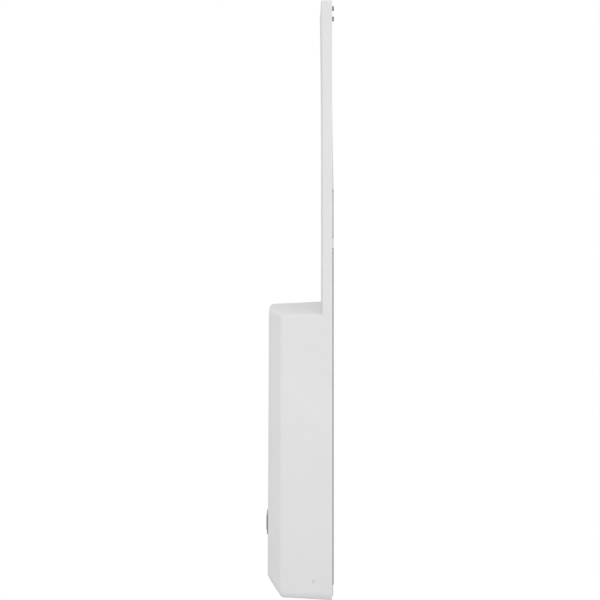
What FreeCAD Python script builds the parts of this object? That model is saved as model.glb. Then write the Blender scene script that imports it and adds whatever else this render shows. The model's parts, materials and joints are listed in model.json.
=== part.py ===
import FreeCAD, Part
import math
import os

from FreeCAD import Placement, Rotation, Vector

# Security gate antenna panel, hung on a wall or door post by its flat back.
# An upper cover holds the antenna and a deeper lower housing holds the electronics.
# Millimetres. +Z is up, the front faces -Y and the back lies on the plane y = 0.
# Heights are measured from the panel's lowest point while modelling; save() then moves
# everything down by ORIGIN_HEIGHT, so that the origin is the centre of the lower bolts.

# ---- driving dimensions -------------------------------------------------------------------
HEIGHT = 1000.0
WIDTH = 250.0
WALL = 2.8  # moulded shell
PLATE = 3.2  # steel mounting plates
SHEET = 1.6  # rear chassis
GAP = 0.4  # assembly clearance

RIM = -PLATE  # rear edge of the shell
PANEL_FRONT = RIM - 16.4  # front face of the thin upper panel, below its bow
BOW = 2.1  # how far the upper panel's front has bowed forward at its top
BOW_FROM = 740.0  # where the bow begins
PANEL_FOOT = 300.0  # the panel's form runs down to here, inside the housing's
PANEL_CORNER = 5.0  # radius of the panel's top corners
PANEL_EDGE = 1.8  # radius of its front edges
RIM_EDGE = 1.6  # radius of the mouldings' rear edge
CREASE = -89.0  # where the side faces turn into the front chamfers
FRONT = -109.7  # front face of the deep lower housing, at mid height
FRONT_LEAN = 0.27  # degrees; the front face leans out towards the bottom

CROWN_BACK = 498.4  # top of the lower housing, at the panel
CROWN_FRONT = 494.1  # and at its front edge
CROWN_EDGE = 5.2  # radius between the crowned top and the sides
RISE_BACK = 22.6  # how far the crowned top rises from side to middle
RISE_FRONT = 18.3
UNDER_TILT = 3.69  # degrees; the underside climbs towards the front
BOTTOM_EDGE = -86.5  # front edge of the underside
BOTTOM_RISE = (RIM - BOTTOM_EDGE) * math.tan(math.radians(UNDER_TILT))  # its height there
TOE = 38.6  # top of the slanted face under the front
SIDE_CHAMFER = 21.0  # how far the front chamfers narrow each side
TURN = (-82.5, -92.0)  # the curved stretch from the flat flank to the slanted front
NOSE_REACH = 7.0  # depth of the rounded edge round the front face
NOSE_SIDE = 3.2  # how much that edge draws in the sides
NOSE_LOW = 2.5  # the toe
NOSE_TOP = 7.0  # and the crown
SEAM_Z = 474.0  # the upper cover meets the lower housing here, level with the crown's sides
TOP_OPENING = PANEL_CORNER - WALL  # corner radii of the mouldings' rear opening
LEAST_CORNER = 0.6  # corner radius of a plate well inside that opening
LOW_OPENING = 12.4

ORIGIN_HEIGHT = 310.0
HALF = WIDTH / 2
INNER_HALF = HALF - WALL
CHASSIS_FRONT = RIM - SHEET  # inner face of the chassis sheet
PANEL_INSIDE = PANEL_FRONT + WALL  # inner face of the upper panel's front wall

LOWER_PLATE = (24.0, 588.2)  # z range of the long mounting plate
UPPER_PLATE = (605.0, 684.7)
FAIRING_TOP = 870.0  # the wedge above the upper plate ends here
FAIRING_THICK = (3.0, 0.4)  # its thickness at its foot and at its top
FOOT_STRIP = (5.0, 23.7)  # z range of the strip below the lower plate
PLATE_HALF = 96.0
WINDOW_HALF = 46.0  # half the width of the plates' windows
WINDOW_Z = [99.75 + 104.0 * k for k in range(5)]  # their centres
WINDOW_HEIGHT = 84.0
BOLT_X = 80.0
BOLT_Z = (60.0, 560.0)  # the four M6 points of the lower plate
UPPER_BOLT_Z = 644.0
M6_CLEARANCE = 3.3
M6_TAP = 2.6

LENS_Z = 121.0
LENS_HEIGHT = 41.0
LENS_WIDTH = 78.0
BEZEL_PROUD = 2.5  # the bezel and the lens stand this far out of the front face
LENS_PROUD = 3.4
LED_SCREW_X = 38.0

SHELL_SCREW_X = 110.0
SHELL_SCREW_Z = (84.0, 262.0, 452.0, 560.0, 735.0, 910.0)
TOP_SCREW_Z = (970.0, 987.3)
SIDE_SCREW = (-34.6, 33.0)  # y and z of the small screw in each side

# The antenna, in the upper cover.
PATCH_Z = (598.0, 754.0, 910.0)
PATCH_HALF = 66.0
PATCH_Y = (-13.9, -13.0)
BACKPLANE_FRONT = CHASSIS_FRONT - 1.2
POST_OFFSET = 46.0
FEED_X = 26.0
COAX = 2.8
COAX_Y = -9.4
COAX_LANES = (88.5, 94.5, 100.5)
CLIP_Z = ((570.0,), (652.0, 700.0), (800.0, 856.0))  # each lead's last clips

# The reader, its power supply and the control board, in the lower housing.
READER_Z = (268.0, 438.0)
READER_HALF = 72.0
READER_Y = (-36.0, -10.0)
READER_WALL = 2.5
CARD_Y = (-19.6, -18.0)
CARD_POSTS = [(s * 54.0, z) for s in (-1, 1) for z in (292.0, 414.0)]
LID_FACE = READER_Y[0] - 2.0
FIN_HEIGHT = 14.0
RF_PORTS = (-6.0, 18.0, 42.0, -30.0)
RF_Y = -23.0
RF_TOP = READER_Z[1] + 13.0
POWER_X = (-104.0, -14.0)
POWER_Z = (92.0, 232.0)
POWER_Y = (-50.0, -10.0)
SUPPLY_WALL = 1.5
SUPPLY_BOARD = POWER_Y[1] - 5.1
BOARD_X = (2.0, 104.0)
BOARD_Z = (92.0, 232.0)
BOARD_Y = (-15.0, -13.4)
M3_SHANK = 1.45
M3_LENGTH = 6.0
EARTH = (-104.0, 246.0)
LED_BOARD_Y = (FRONT + WALL + 8.0, FRONT + WALL + 9.6)

# The underside and its connector bay are drawn square to the sloping underside: their own y
# runs along the underside from the rear rim, and their own z is the depth into the housing.
BAY = Placement(Vector(0, RIM, 0), Rotation(Vector(1, 0, 0), -UNDER_TILT))
UNDER_HALF = 101.0  # half the width of the opening that the underside plate closes
UNDER_Y = (-79.8, -6.0)
FLOOR_TOP = WALL + 0.05  # just above the inside of the underside
LEDGE_TOP = 5.6  # top of the ledges that the underside plate is screwed to
CORNER_SCREW = 96.8  # x of the plate's corner screws
CORNER_SCREW_Y = (-73.0, -13.0)
UNDER_SHANK = 1.45
UNDER_HEAD = 3.05
BAY_HALF = 72.0
BAY_FEET_Y = (-66.0, -20.0)
BAY_BACK = -8.0
BAY_FRONT = -77.5
BAY_DEPTH = 46.0
HINGE_Y = -32.0
HINGE_Z = 3.0  # the barrel's radius too, so the barrel is flush with the underside
DOOR_HALF = 69.5
DOOR_FRONT = -75.0
DOOR_THICK = 2.4
LOCK_Y = -60.0
CAM_REACH = 21.0  # from the lock's axis to the cam's tip
GROMMET_X = -40.0
GROMMET_Y = -15.2
GROMMET_BORE = 3.9
GROMMET_FLANGE = 6.9
RESET_X = -22.0
ROCKER_X = 52.0
PORT_Y = -52.0
POWER_JACK_X = -52.0
TERMINAL_X = [-11.0 + 4.5 * k for k in range(8)]
BOARD_GAP = 12.0  # from the bay's end wall to the connector board
ROCKER_PIVOT = BAY_DEPTH + 2.6

X_AXIS = Vector(1, 0, 0)
Y_AXIS = Vector(0, 1, 0)
Z_AXIS = Vector(0, 0, 1)
FORWARD = Vector(0, -1, 0)  # from the wall towards the front


# ---- small helpers ------------------------------------------------------------------------
def box(x, y, z):
    """A box from three (low, high) ranges."""
    size = [hi - lo for lo, hi in (x, y, z)]
    return Part.makeBox(*size, Vector(x[0], y[0], z[0]))


def rod(radius, length, start, axis):
    return Part.makeCylinder(radius, length, Vector(*start), axis)


def fuse(shapes):
    shapes = list(shapes)
    return shapes[0].multiFuse(shapes[1:]).removeSplitter()


def cut(shape, tools):
    return shape.cut(list(tools))


def group(shapes):
    return Part.makeCompound(list(shapes))


def moved(shape, x=0.0, y=0.0, z=0.0):
    copy = shape.copy()
    copy.translate(Vector(x, y, z))
    return copy


def mirrored(shape):
    """The same shape on the other side of the middle plane x = 0."""
    return shape.mirror(Vector(0, 0, 0), X_AXIS)


def both_sides(shape):
    return [shape, mirrored(shape)]


def sides_at(heights):
    """The screw points near both sides at each height."""
    return [(s * SHELL_SCREW_X, z) for z in heights for s in (-1, 1)]


def along_y(body, axis=Y_AXIS):
    """The straight edges of a body that run along Y, or along another axis."""
    return [e for e in body.Edges if abs(e.tangentAt(e.FirstParameter).dot(axis)) > 0.99]


def slab(x, y, z, radius, axis=Y_AXIS):
    """A box whose edges along one axis are rounded."""
    body = box(x, y, z)
    return body.makeFillet(radius, along_y(body, axis))


def upright_plate(half, z_range, y_range, radius):
    """A plate standing in the X-Z plane with rounded corners."""
    return slab((-half, half), y_range, z_range, radius)


def stadium(width, height, y_range, z):
    """A flat slot shape in the X-Z plane with half-round ends, centred on x = 0."""
    return slab((-width / 2, width / 2), y_range, (z - height / 2, z + height / 2), height / 2 - 0.01)


def hexagon(across_flats, length, start, axis):
    """A hexagonal prism along the given axis."""
    reach = across_flats / math.sqrt(3)
    turns = [k * math.pi / 3 for k in range(7)]
    points = [Vector(reach * math.cos(t), reach * math.sin(t), 0) for t in turns]
    prism = Part.Face(Part.makePolygon(points)).extrude(Vector(0, 0, length))
    prism.Placement = Placement(Vector(*start), Rotation(Z_AXIS, axis))
    return prism


def cross_recess(depth, start, axis):
    """The tool that cuts a screw's cross recess, going along axis from start."""
    tool = fuse([box((-0.45, 0.45), (-2.0, 2.0), (0, depth)), box((-2.0, 2.0), (-0.45, 0.45), (0, depth))])
    tool.Placement = Placement(Vector(*start), Rotation(Z_AXIS, axis))
    return tool


def flush_screw(x, z, face_y, shank, length, head):
    """A countersunk screw driven towards -Y with its head flush at face_y."""
    cone = Part.makeCone(head, shank, head - shank, Vector(x, face_y, z), FORWARD)
    stem = rod(shank, length, (x, face_y, z), FORWARD)
    return cut(fuse([cone, stem]), [cross_recess(1.1, (x, face_y, z), FORWARD)])


def flush_seat(x, z, face_y, shank, head, through):
    """The hole that a flush screw needs, with 0.1 mm to spare."""
    cone = Part.makeCone(head + 0.1, shank + 0.1, head - shank, Vector(x, face_y, z), FORWARD)
    stem = rod(shank + 0.1, through, (x, face_y + 0.01, z), FORWARD)
    return fuse([cone, stem])


def pan_screw(start, axis, shank, length, head, head_height):
    """A pan-head screw. start is under the head and axis is the way it is driven."""
    place = Vector(*start)
    dome = Part.makeCylinder(head, head_height, place - axis * head_height, axis)
    top = (place - axis * head_height).dot(axis)
    rim = [e for e in dome.Edges if abs(e.CenterOfMass.dot(axis) - top) < 1e-6]
    dome = dome.makeFillet(head_height * 0.45, rim)
    stem = Part.makeCylinder(shank, length, place, axis)
    slot = cross_recess(head_height * 0.55, place - axis * head_height, axis)
    return cut(fuse([dome, stem]), [slot])


def cable(points, diameter):
    """A round cable along straight runs joined by tangent arcs, each as large as its runs allow."""
    points = [Vector(*p) for p in points]
    edges = []
    start = points[0]
    for before, corner, after in zip(points, points[1:], points[2:]):
        way_in = (corner - before).normalize()
        way_out = (after - corner).normalize()
        half_turn = math.acos(max(-1.0, min(1.0, way_in.dot(way_out)))) / 2
        tangent = 0.45 * min((corner - before).Length, (after - corner).Length)
        radius = tangent / math.tan(half_turn)
        first = corner - way_in * tangent
        last = corner + way_out * tangent
        to_centre = (way_out - way_in).normalize()
        centre = corner + to_centre * (radius / math.cos(half_turn))
        middle = centre - to_centre * radius
        edges.append(Part.LineSegment(start, first).toShape())
        edges.append(Part.Arc(first, middle, last).toShape())
        start = last
    edges.append(Part.LineSegment(start, points[-1]).toShape())
    path = Part.Wire(edges)
    way = (points[1] - points[0]).normalize()
    ring = Part.Wire(Part.makeCircle(diameter / 2, points[0], way))
    return path.makePipeShell([ring], True, False)


def in_bay(shape):
    """Moves a shape drawn in the bay's own frame into the panel's frame."""
    placed = shape.copy()
    placed.Placement = BAY.multiply(placed.Placement)
    return placed


def save(name, shape):
    """Writes one node, after a check that it is made of sound solids."""
    solids = shape.Solids
    sound = solids and all(s.isValid() and s.Volume > 0 for s in solids)
    if not sound:
        raise RuntimeError(name + " isn't made of valid solids")
    body = solids[0] if len(solids) == 1 else Part.makeCompound(solids)
    body = moved(body, z=-ORIGIN_HEIGHT)
    body.exportStep("parts/" + name + ".step")


# ---- the moulded shell's outer form -------------------------------------------------------
def outline(half, low, crown, rise, low_radius, top_radius, y, lean):
    """One closed section of the lower housing: flat underside, straight sides, crowned top."""
    arc_radius = (half**2 + rise**2) / (2 * rise)
    arc_centre = crown - arc_radius
    # the rounded corner between side and crown is tangent to both
    cx = half - top_radius
    cz = arc_centre + math.sqrt((arc_radius - top_radius) ** 2 - cx**2)
    scale = arc_radius / (arc_radius - top_radius)
    touch_x = cx * scale
    touch_z = arc_centre + (cz - arc_centre) * scale
    away = Vector(half - cx, 0, 0) + (Vector(touch_x - cx, 0, touch_z - cz))
    bulge = away.normalize() * top_radius
    diagonal = low_radius * math.sqrt(0.5)

    def pair(x0, z0, x1, z1):
        return Part.LineSegment(Vector(x0, 0, z0), Vector(x1, 0, z1)).toShape()

    def bend(a, b, c):
        return Part.Arc(Vector(a[0], 0, a[1]), Vector(b[0], 0, b[1]), Vector(c[0], 0, c[1])).toShape()

    low_c = (half - low_radius, low + low_radius)
    edges = [
        pair(-low_c[0], low, low_c[0], low),
        bend((low_c[0], low), (low_c[0] + diagonal, low_c[1] - diagonal), (half, low_c[1])),
        pair(half, low_c[1], half, cz),
        bend((half, cz), (cx + bulge.x, cz + bulge.z), (touch_x, touch_z)),
        bend((touch_x, touch_z), (0, crown), (-touch_x, touch_z)),
        bend((-touch_x, touch_z), (-cx - bulge.x, cz + bulge.z), (-half, cz)),
        pair(-half, cz, -half, low_c[1]),
        bend((-half, low_c[1]), (-low_c[0] - diagonal, low_c[1] - diagonal), (-low_c[0], low)),
    ]
    wire = Part.Wire(edges)
    mid_height = (low + crown) / 2
    wire.rotate(Vector(0, 0, mid_height), X_AXIS, lean)
    wire.translate(Vector(0, y, 0))
    return wire


def blend_line(y, y0, v0, y1, v1):
    return v0 + (v1 - v0) * (y - y0) / (y1 - y0)


def rounded_corner(depth, corner, tangent, slope_in, slope_out):
    """A value that runs at slope_in, then at slope_out, with a smooth curve of the given reach between."""
    if depth <= corner - tangent:
        return slope_in * (depth - corner)
    if depth >= corner + tangent:
        return slope_out * (depth - corner)
    share = (depth - corner + tangent) / (2 * tangent)
    before = slope_in * (depth - corner)
    return before + (slope_out - slope_in) * tangent * share**2


def housing_section(depth, inset=0.0):
    """The section at a depth behind the plane y = 0; inset draws the cavity's section instead."""
    crease = -CREASE
    toe_slope = (TOE - BOTTOM_RISE) / (BOTTOM_EDGE - FRONT)
    low_slope = BOTTOM_RISE / (RIM - BOTTOM_EDGE)
    side_slope = SIDE_CHAMFER / (CREASE - FRONT)
    half = HALF - rounded_corner(depth, crease, 2.2, 0.0, side_slope)
    low = BOTTOM_RISE + rounded_corner(depth, -BOTTOM_EDGE, 3.5, low_slope, toe_slope)
    if inset and depth > crease:
        # a wall on a slope is as thick as the others when it is measured square to the slope
        half -= inset * (math.hypot(1, side_slope) - 1)
        low += inset * (math.hypot(1, toe_slope) - 1)
    crown = blend_line(depth, -PANEL_FRONT, CROWN_BACK, -FRONT, CROWN_FRONT)
    rise = blend_line(depth, -PANEL_FRONT, RISE_BACK, crease, RISE_FRONT)
    rise = rise * (half / HALF) ** 2
    low_radius = max(9.5, blend_line(depth, -RIM, 15.0, crease, 9.5))
    lean = -FRONT_LEAN * max(0.0, (depth + PANEL_FRONT) / (-FRONT + PANEL_FRONT))
    low_radius -= inset * 0.8
    top_radius = CROWN_EDGE - inset * 0.8
    return [half - inset, low + inset, crown - inset, rise, low_radius, top_radius, -depth, lean]


def nose_section(share):
    """The section on the rounded front edge; share runs from 0, the flank, to 1, the front face."""
    depth = -FRONT - NOSE_REACH * (1 - math.sin(share * math.pi / 2))
    turn = 1 - math.cos(share * math.pi / 2)
    section = housing_section(depth)
    narrowed = section[0] - NOSE_SIDE * turn
    section[3] *= (narrowed / section[0]) ** 2
    section[0] = narrowed
    section[1] += NOSE_LOW * turn
    section[2] -= NOSE_TOP * turn
    return section


def loft(sections, smooth=False):
    wires = [outline(*s) for s in sections]
    return Part.makeLoft(wires, True, not smooth)


def housing_form():
    """The lower housing's outer form, solid."""
    near, far = -TURN[0], -TURN[1]
    steps = [near + (far - near) * k / 8 for k in range(9)]
    flank = loft([housing_section(-RIM), housing_section(near)])
    turn = loft([housing_section(depth) for depth in steps], smooth=True)
    slant = loft([housing_section(far), housing_section(-FRONT - NOSE_REACH)])
    front = loft([nose_section(k / 5) for k in range(6)], smooth=True)
    return fuse([flank, turn, slant, front])


def panel_front(z):
    """Where the upper panel's front face is at a height, with its bow."""
    return PANEL_FRONT - BOW * (max(0.0, z - BOW_FROM) / (HEIGHT - BOW_FROM)) ** 2


def panel_form(inset=0.0):
    """The thin upper panel's form, solid, with its bowed front and softly rounded front edge."""
    half = HALF - inset
    top = HEIGHT - inset
    middle = (top + BOW_FROM) / 2

    def front_at(z):
        return Vector(-half, panel_front(z) + inset, z)

    def rear_at(z):
        return Vector(-half, RIM, z)

    corners = [front_at(BOW_FROM), front_at(PANEL_FOOT), rear_at(PANEL_FOOT), rear_at(top), front_at(top)]
    bow = Part.Arc(corners[-1], front_at(middle), corners[0])
    edges = [Part.LineSegment(a, b).toShape() for a, b in zip(corners, corners[1:])]
    body = Part.Face(Part.Wire(edges + [bow.toShape()])).extrude(Vector(2 * half, 0, 0))
    body = body.makeFillet(PANEL_CORNER - inset, [e for e in along_y(body) if e.CenterOfMass.z > HEIGHT / 2])
    if inset:
        return body
    outer = [e for e in body.Edges if e.BoundBox.YMax < PANEL_FRONT + 0.01 and e.BoundBox.ZMax > BOW_FROM]
    upright = [e for e in outer if e.BoundBox.ZLength > 1.0 or e.CenterOfMass.z > BOW_FROM + 1.0]
    straight_front = [e for e in body.Edges if abs(e.CenterOfMass.y - PANEL_FRONT) < 1e-6]
    low = [e for e in straight_front if e.BoundBox.ZLength > 100.0 and e.BoundBox.ZMax < BOW_FROM + 1.0]
    return body.makeFillet(PANEL_EDGE, upright + low)


def cavity():
    """What the mould's core takes out of the two mouldings."""
    depths = [-RIM - 1.0, -TURN[0], -TURN[1], -FRONT - WALL]
    lower = loft([housing_section(d, WALL) for d in depths])
    upper = panel_form(WALL)
    opening = moved(upper, y=2.0)
    return fuse([lower, upper, opening])


def hollow_form():
    """Both mouldings as one hollow body, before the seam divides them."""
    solid = rim_rounded(fuse([housing_form(), panel_form()]), RIM_EDGE)
    return cut(solid, [cavity()])


def above_seam():
    """The space that the upper cover fills: all above the crown, and down to the seam behind it."""
    behind = box((-HALF - 1.0, HALF + 1.0), (PANEL_FRONT, 1.0), (SEAM_Z, CROWN_BACK + 8.0))
    above = box((-HALF - 1.0, HALF + 1.0), (PANEL_FRONT - 20.0, 1.0), (CROWN_BACK + 4.0, HEIGHT + 1.0))
    return fuse([behind, above])


def rim_rounded(body, radius):
    """Rounds the outer edge of the shell's rear rim."""
    rim = [e for e in body.Edges if abs(e.BoundBox.YMin - RIM) < 0.01 and abs(e.BoundBox.YMax - RIM) < 0.01]
    return body.makeFillet(radius, rim)


def screw_bosses(heights):
    """Bosses for the rear screws, each tied to the side wall by a rib."""
    made = []
    for z in heights:
        root = boss_root(z)
        post = rod(4.5, CHASSIS_FRONT - root, (SHELL_SCREW_X, root, z), Y_AXIS)
        rib = box((SHELL_SCREW_X, INNER_HALF + 0.5), (root, -7.4), (z - 1.5, z + 1.5))
        made += both_sides(fuse([post, rib]))
    return made


def boss_root(z):
    """Where a boss starts: half way into the front wall that it grows from."""
    return panel_front(z) + WALL / 2


def top_bosses():
    """Thicker bosses at the top, for the brass inserts."""
    posts = [
        rod(5.2, CHASSIS_FRONT - boss_root(z), (SHELL_SCREW_X, boss_root(z), z), Y_AXIS) for z in TOP_SCREW_Z
    ]
    return [post for one in posts for post in both_sides(one)]


def screw_holes(heights):
    return [rod(1.5, 11.2, (x, CHASSIS_FRONT + 0.1, z), FORWARD) for x, z in sides_at(heights)]


def upper_cover():
    """The thin moulding over the antenna, with two low ribs inside its front wall."""
    body = hollow_form().common(above_seam())
    heights = [z for z in SHELL_SCREW_Z if z > SEAM_Z]
    ribs = [box((-96.0, 96.0), (boss_root(z), PANEL_INSIDE + 1.6), (z, z + 1.8)) for z in (668.0, 828.0)]
    body = fuse([body] + screw_bosses(heights) + top_bosses() + ribs)
    inserts = [rod(3.0, 6.6, (x, CHASSIS_FRONT + 0.1, z), FORWARD) for x, z in sides_at(TOP_SCREW_Z)]
    return cut(body, screw_holes(heights) + inserts)


def front_ribs():
    """Low ribs inside the lower housing's front wall."""
    depth = (FRONT + WALL - 1.5, FRONT + WALL + 5.0)
    return [box((-80.0, 80.0), depth, (z, z + 1.8)) for z in (200.0, 300.0, 400.0)]


def led_posts():
    """Two posts behind the front wall that carry the status light board."""
    return [rod(3.0, 9.5, (x, FRONT + WALL - 1.5, LENS_Z), Y_AXIS) for x in (-LED_SCREW_X, LED_SCREW_X)]


def underside_ledges():
    """A ledge along each side of the underside's opening, which the plate is screwed up against."""
    y_range = (UNDER_Y[0] + 2.0, UNDER_Y[1] - 2.0)
    shelf = box((UNDER_HALF - 7.5, UNDER_HALF + 6.0), y_range, (FLOOR_TOP, LEDGE_TOP))
    root = box((UNDER_HALF + 0.3, UNDER_HALF + 6.0), y_range, (WALL / 2, LEDGE_TOP))
    return [in_bay(ledge) for ledge in both_sides(fuse([shelf, root]))]


def toe_frame():
    """A frame on the slanted face under the front: its z is the face's outward normal."""
    lean = math.degrees(math.atan2(TOE - BOTTOM_RISE, BOTTOM_EDGE - FRONT))
    centre = Vector(0, BOTTOM_EDGE + 0.6 * (FRONT - BOTTOM_EDGE), BOTTOM_RISE + 0.6 * (TOE - BOTTOM_RISE))
    return Placement(centre, Rotation(X_AXIS, 180.0 - lean))


def on_toe(shape):
    placed = shape.copy()
    placed.Placement = toe_frame().multiply(placed.Placement)
    return placed


def sound_slots():
    """Upright slots in the slanted face, in front of the sounder."""
    middles = [8.0 * k for k in range(-3, 4)]
    slots = [slab((x - 1.2, x + 1.2), (-8.5, 8.5), (-12.0, 6.0), 1.19, Z_AXIS) for x in middles]
    return [on_toe(slot) for slot in slots]


def lower_housing():
    """The deep moulding over the electronics, open underneath for the underside plate."""
    body = cut(hollow_form(), [above_seam()])
    opening = box((-UNDER_HALF, UNDER_HALF), UNDER_Y, (-3.0, FLOOR_TOP + 1.0))
    heights = [z for z in SHELL_SCREW_Z if z < SEAM_Z]
    inside = screw_bosses(heights) + front_ribs() + led_posts() + underside_ledges()
    body = fuse([cut(body, [in_bay(opening)])] + inside)
    tools = screw_holes(heights) + sound_slots()
    tools += [rod(1.0, 8.0, (x, FRONT + WALL + 8.1, LENS_Z), FORWARD) for x in (-LED_SCREW_X, LED_SCREW_X)]
    tools += [stadium(LENS_WIDTH - 12.0, LENS_HEIGHT - 12.0, (FRONT - 5.0, FRONT + 8.0), LENS_Z)]
    tools += [in_bay(rod(UNDER_SHANK + 0.05, 8.0, (x, y, 0), Z_AXIS)) for x, y in corner_screw_points()]
    tools += [side_hole(s, 2.5, 2.2) for s in (-1, 1)]
    tools += [side_hole(s, 1.8, 10.0) for s in (-1, 1)]
    return cut(body, tools)


def side_hole(side, radius, depth):
    """A round hole into a side face at its small screw."""
    return rod(radius, depth, (side * HALF, *SIDE_SCREW), Vector(-side, 0, 0))


# ---- rear: chassis, seal, mounting plates -------------------------------------------------
def rear_outline(inset, y_range):
    """A plate that follows the shell's rear opening, smaller by inset."""
    half = INNER_HALF - inset
    top_radius = max(TOP_OPENING - inset, LEAST_CORNER)
    body = box((-half, half), y_range, (WALL + 0.4 + inset, HEIGHT - WALL - inset))
    body = body.makeFillet(top_radius, [e for e in along_y(body) if e.CenterOfMass.z > HEIGHT / 2])
    return body.makeFillet(LOW_OPENING - inset, [e for e in along_y(body) if e.CenterOfMass.z < HEIGHT / 2])


def bolt_points():
    lower = [(s * BOLT_X, z) for z in BOLT_Z for s in (-1, 1)]
    return lower + [(s * BOLT_X, UPPER_BOLT_Z) for s in (-1, 1)]


def plate_screw_points():
    lower = [(s * BOLT_X, z) for z in (95.0, 202.0, 308.0, 412.0, 525.0) for s in (-1, 1)]
    return lower + [(s * BOLT_X, z) for z in (618.0, 670.0) for s in (-1, 1)]


def chassis_vents():
    """Two columns of slots behind the reader, where warm air leaves."""
    rows = [middle + 11.0 * k for middle in WINDOW_Z[2:4] for k in range(-3, 4)]
    columns = [(x - 18.0, x + 18.0) for x in (-22.0, 22.0)]
    return [slab(x, (-6.0, -2.0), (z - 1.6, z + 1.6), 1.59) for x in columns for z in rows]


def rear_chassis():
    body = rear_outline(GAP, (CHASSIS_FRONT, RIM))
    flanges = [
        box((s * 120.2 - 0.8, s * 120.2 + 0.8), (-48.0, CHASSIS_FRONT), (19.0, 44.0)) for s in (-1, 1)
    ]
    body = fuse([body] + flanges)
    tools = chassis_vents()
    tools += [rod(M6_CLEARANCE, 6.0, (x, RIM + 1.0, z), FORWARD) for x, z in bolt_points()]
    tools += [rod(2.1, 6.0, (x, RIM + 1.0, z), FORWARD) for x, z in plate_screw_points()]
    tools += [flush_seat(x, z, RIM, 1.6, 3.2, 4.0) for x, z in sides_at(SHELL_SCREW_Z)]
    tools += [rod(2.1, 6.0, (x, RIM + 1.0, z), FORWARD) for x, z in sides_at(TOP_SCREW_Z)]
    tools += [rod(1.6, 6.0, (x, RIM + 1.0, z), FORWARD) for x, z in patch_post_points()]
    tools += [side_hole(s, 1.75, 10.0) for s in (-1, 1)]
    tools += [rod(1.6, 6.0, (x, RIM + 1.0, z), FORWARD) for x, z in standoff_points()]
    tools += [rod(2.1, 6.0, (EARTH[0], RIM + 1.0, EARTH[1]), FORWARD)]
    return cut(body, tools)


def perimeter_gasket():
    outer = rear_outline(0.8, (CHASSIS_FRONT - 2.2, CHASSIS_FRONT))
    inner = rear_outline(4.2, (CHASSIS_FRONT - 4.0, CHASSIS_FRONT + 2.0))
    ring = cut(outer, [inner])
    flange_slots = [box((s * 120.2 - 1.3, s * 120.2 + 1.3), (-9.0, -4.0), (18.5, 44.5)) for s in (-1, 1)]
    return max(cut(ring, flange_slots).Solids, key=lambda s: s.Volume)


def plate_window(z, height):
    return upright_plate(WINDOW_HALF, (z - height / 2, z + height / 2), (RIM - 1.0, 1.0), 10.0)


def mounting_plate_lower():
    body = upright_plate(PLATE_HALF, LOWER_PLATE, (RIM, 0.0), 6.0)
    tools = [plate_window(z, WINDOW_HEIGHT) for z in WINDOW_Z]
    tools += [rod(M6_CLEARANCE, 6.0, (s * BOLT_X, 1.0, z), FORWARD) for z in BOLT_Z for s in (-1, 1)]
    tools += [flush_seat(x, z, 0.0, 2.0, 4.0, 5.0) for x, z in plate_screw_points() if z < LOWER_PLATE[1]]
    body = cut(body, tools)
    return edge_softened(body, 0.5)


def mounting_plate_upper():
    body = upright_plate(PLATE_HALF, UPPER_PLATE, (RIM, 0.0), 6.0)
    tools = [plate_window(UPPER_BOLT_Z, 44.0)]
    tools += [rod(M6_CLEARANCE, 6.0, (s * BOLT_X, 1.0, UPPER_BOLT_Z), FORWARD) for s in (-1, 1)]
    tools += [flush_seat(x, z, 0.0, 2.0, 4.0, 5.0) for x, z in plate_screw_points() if z > UPPER_PLATE[0]]
    body = cut(body, tools)
    return edge_softened(body, 0.5)


def edge_softened(plate, size):
    """Breaks the sharp edge round a plate's rear face, leaving its screw holes alone."""
    rear = [f for f in plate.Faces if abs(f.CenterOfMass.y) < 1e-6 and f.normalAt(0, 0).y > 0.9]
    outer = max(rear, key=lambda f: f.Area).OuterWire
    chosen = [e for e in plate.Edges if any(e.isSame(w) for w in outer.Edges)]
    return plate.makeChamfer(size, chosen)


def locating_bar():
    """The bar between the plates that sets where the upper one sits."""
    low, high = LOWER_PLATE[1] + 0.3, UPPER_PLATE[0] - 0.3
    bar = box((-PLATE_HALF, PLATE_HALF), (RIM, -0.5), (low, high))
    dip_z = (low + 4.0, high - 4.0)
    dips = [box((x - 14.0, x + 14.0), (-1.6, 0.0), dip_z) for x in (-60.0, -20.0, 20.0, 60.0)]
    return cut(bar, dips)


def foot_strip():
    """The strip under the lower plate, rounded along its lower edge."""
    strip = box((-PLATE_HALF, PLATE_HALF), (RIM, -1.0), FOOT_STRIP)
    lip = [e for e in strip.Edges if e.BoundBox.YMin > -1.01 and e.BoundBox.ZMax < FOOT_STRIP[0] + 0.01]
    return strip.makeFillet(1.8, lip)


def fairing():
    """The wedge above the upper plate, which thins upwards in short flats along a hollow curve."""
    low, high = UPPER_PLATE[1] + 0.3, FAIRING_TOP
    flats = 8
    profile = [(RIM, low)]
    for k in range(flats + 1):
        share = k / flats
        thickness = FAIRING_THICK[1] + (FAIRING_THICK[0] - FAIRING_THICK[1]) * (1 - share) ** 2
        profile.append((RIM + thickness, low + (high - low) * share))
    profile += [(RIM, high), (RIM, low)]
    face = Part.Face(Part.makePolygon([Vector(-PLATE_HALF, y, z) for y, z in profile]))
    return face.extrude(Vector(2 * PLATE_HALF, 0, 0))


def rear_spacers():
    """White plastic strips bonded to the chassis round the mounting plates."""
    return group([locating_bar(), foot_strip(), fairing()])


def plate_screws():
    return group(flush_screw(x, z, -0.1, 2.0, 8.6, 3.95) for x, z in plate_screw_points())


def shell_screws():
    return group(flush_screw(x, z, RIM - 0.05, 1.45, 12.0, 3.05) for x, z in sides_at(SHELL_SCREW_Z))


def top_screws():
    """The two pairs of pan-head screws that show at the top of the back."""
    return group(pan_screw((x, RIM, z), FORWARD, 1.95, 7.6, 4.1, 3.1) for x, z in sides_at(TOP_SCREW_Z))


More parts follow.
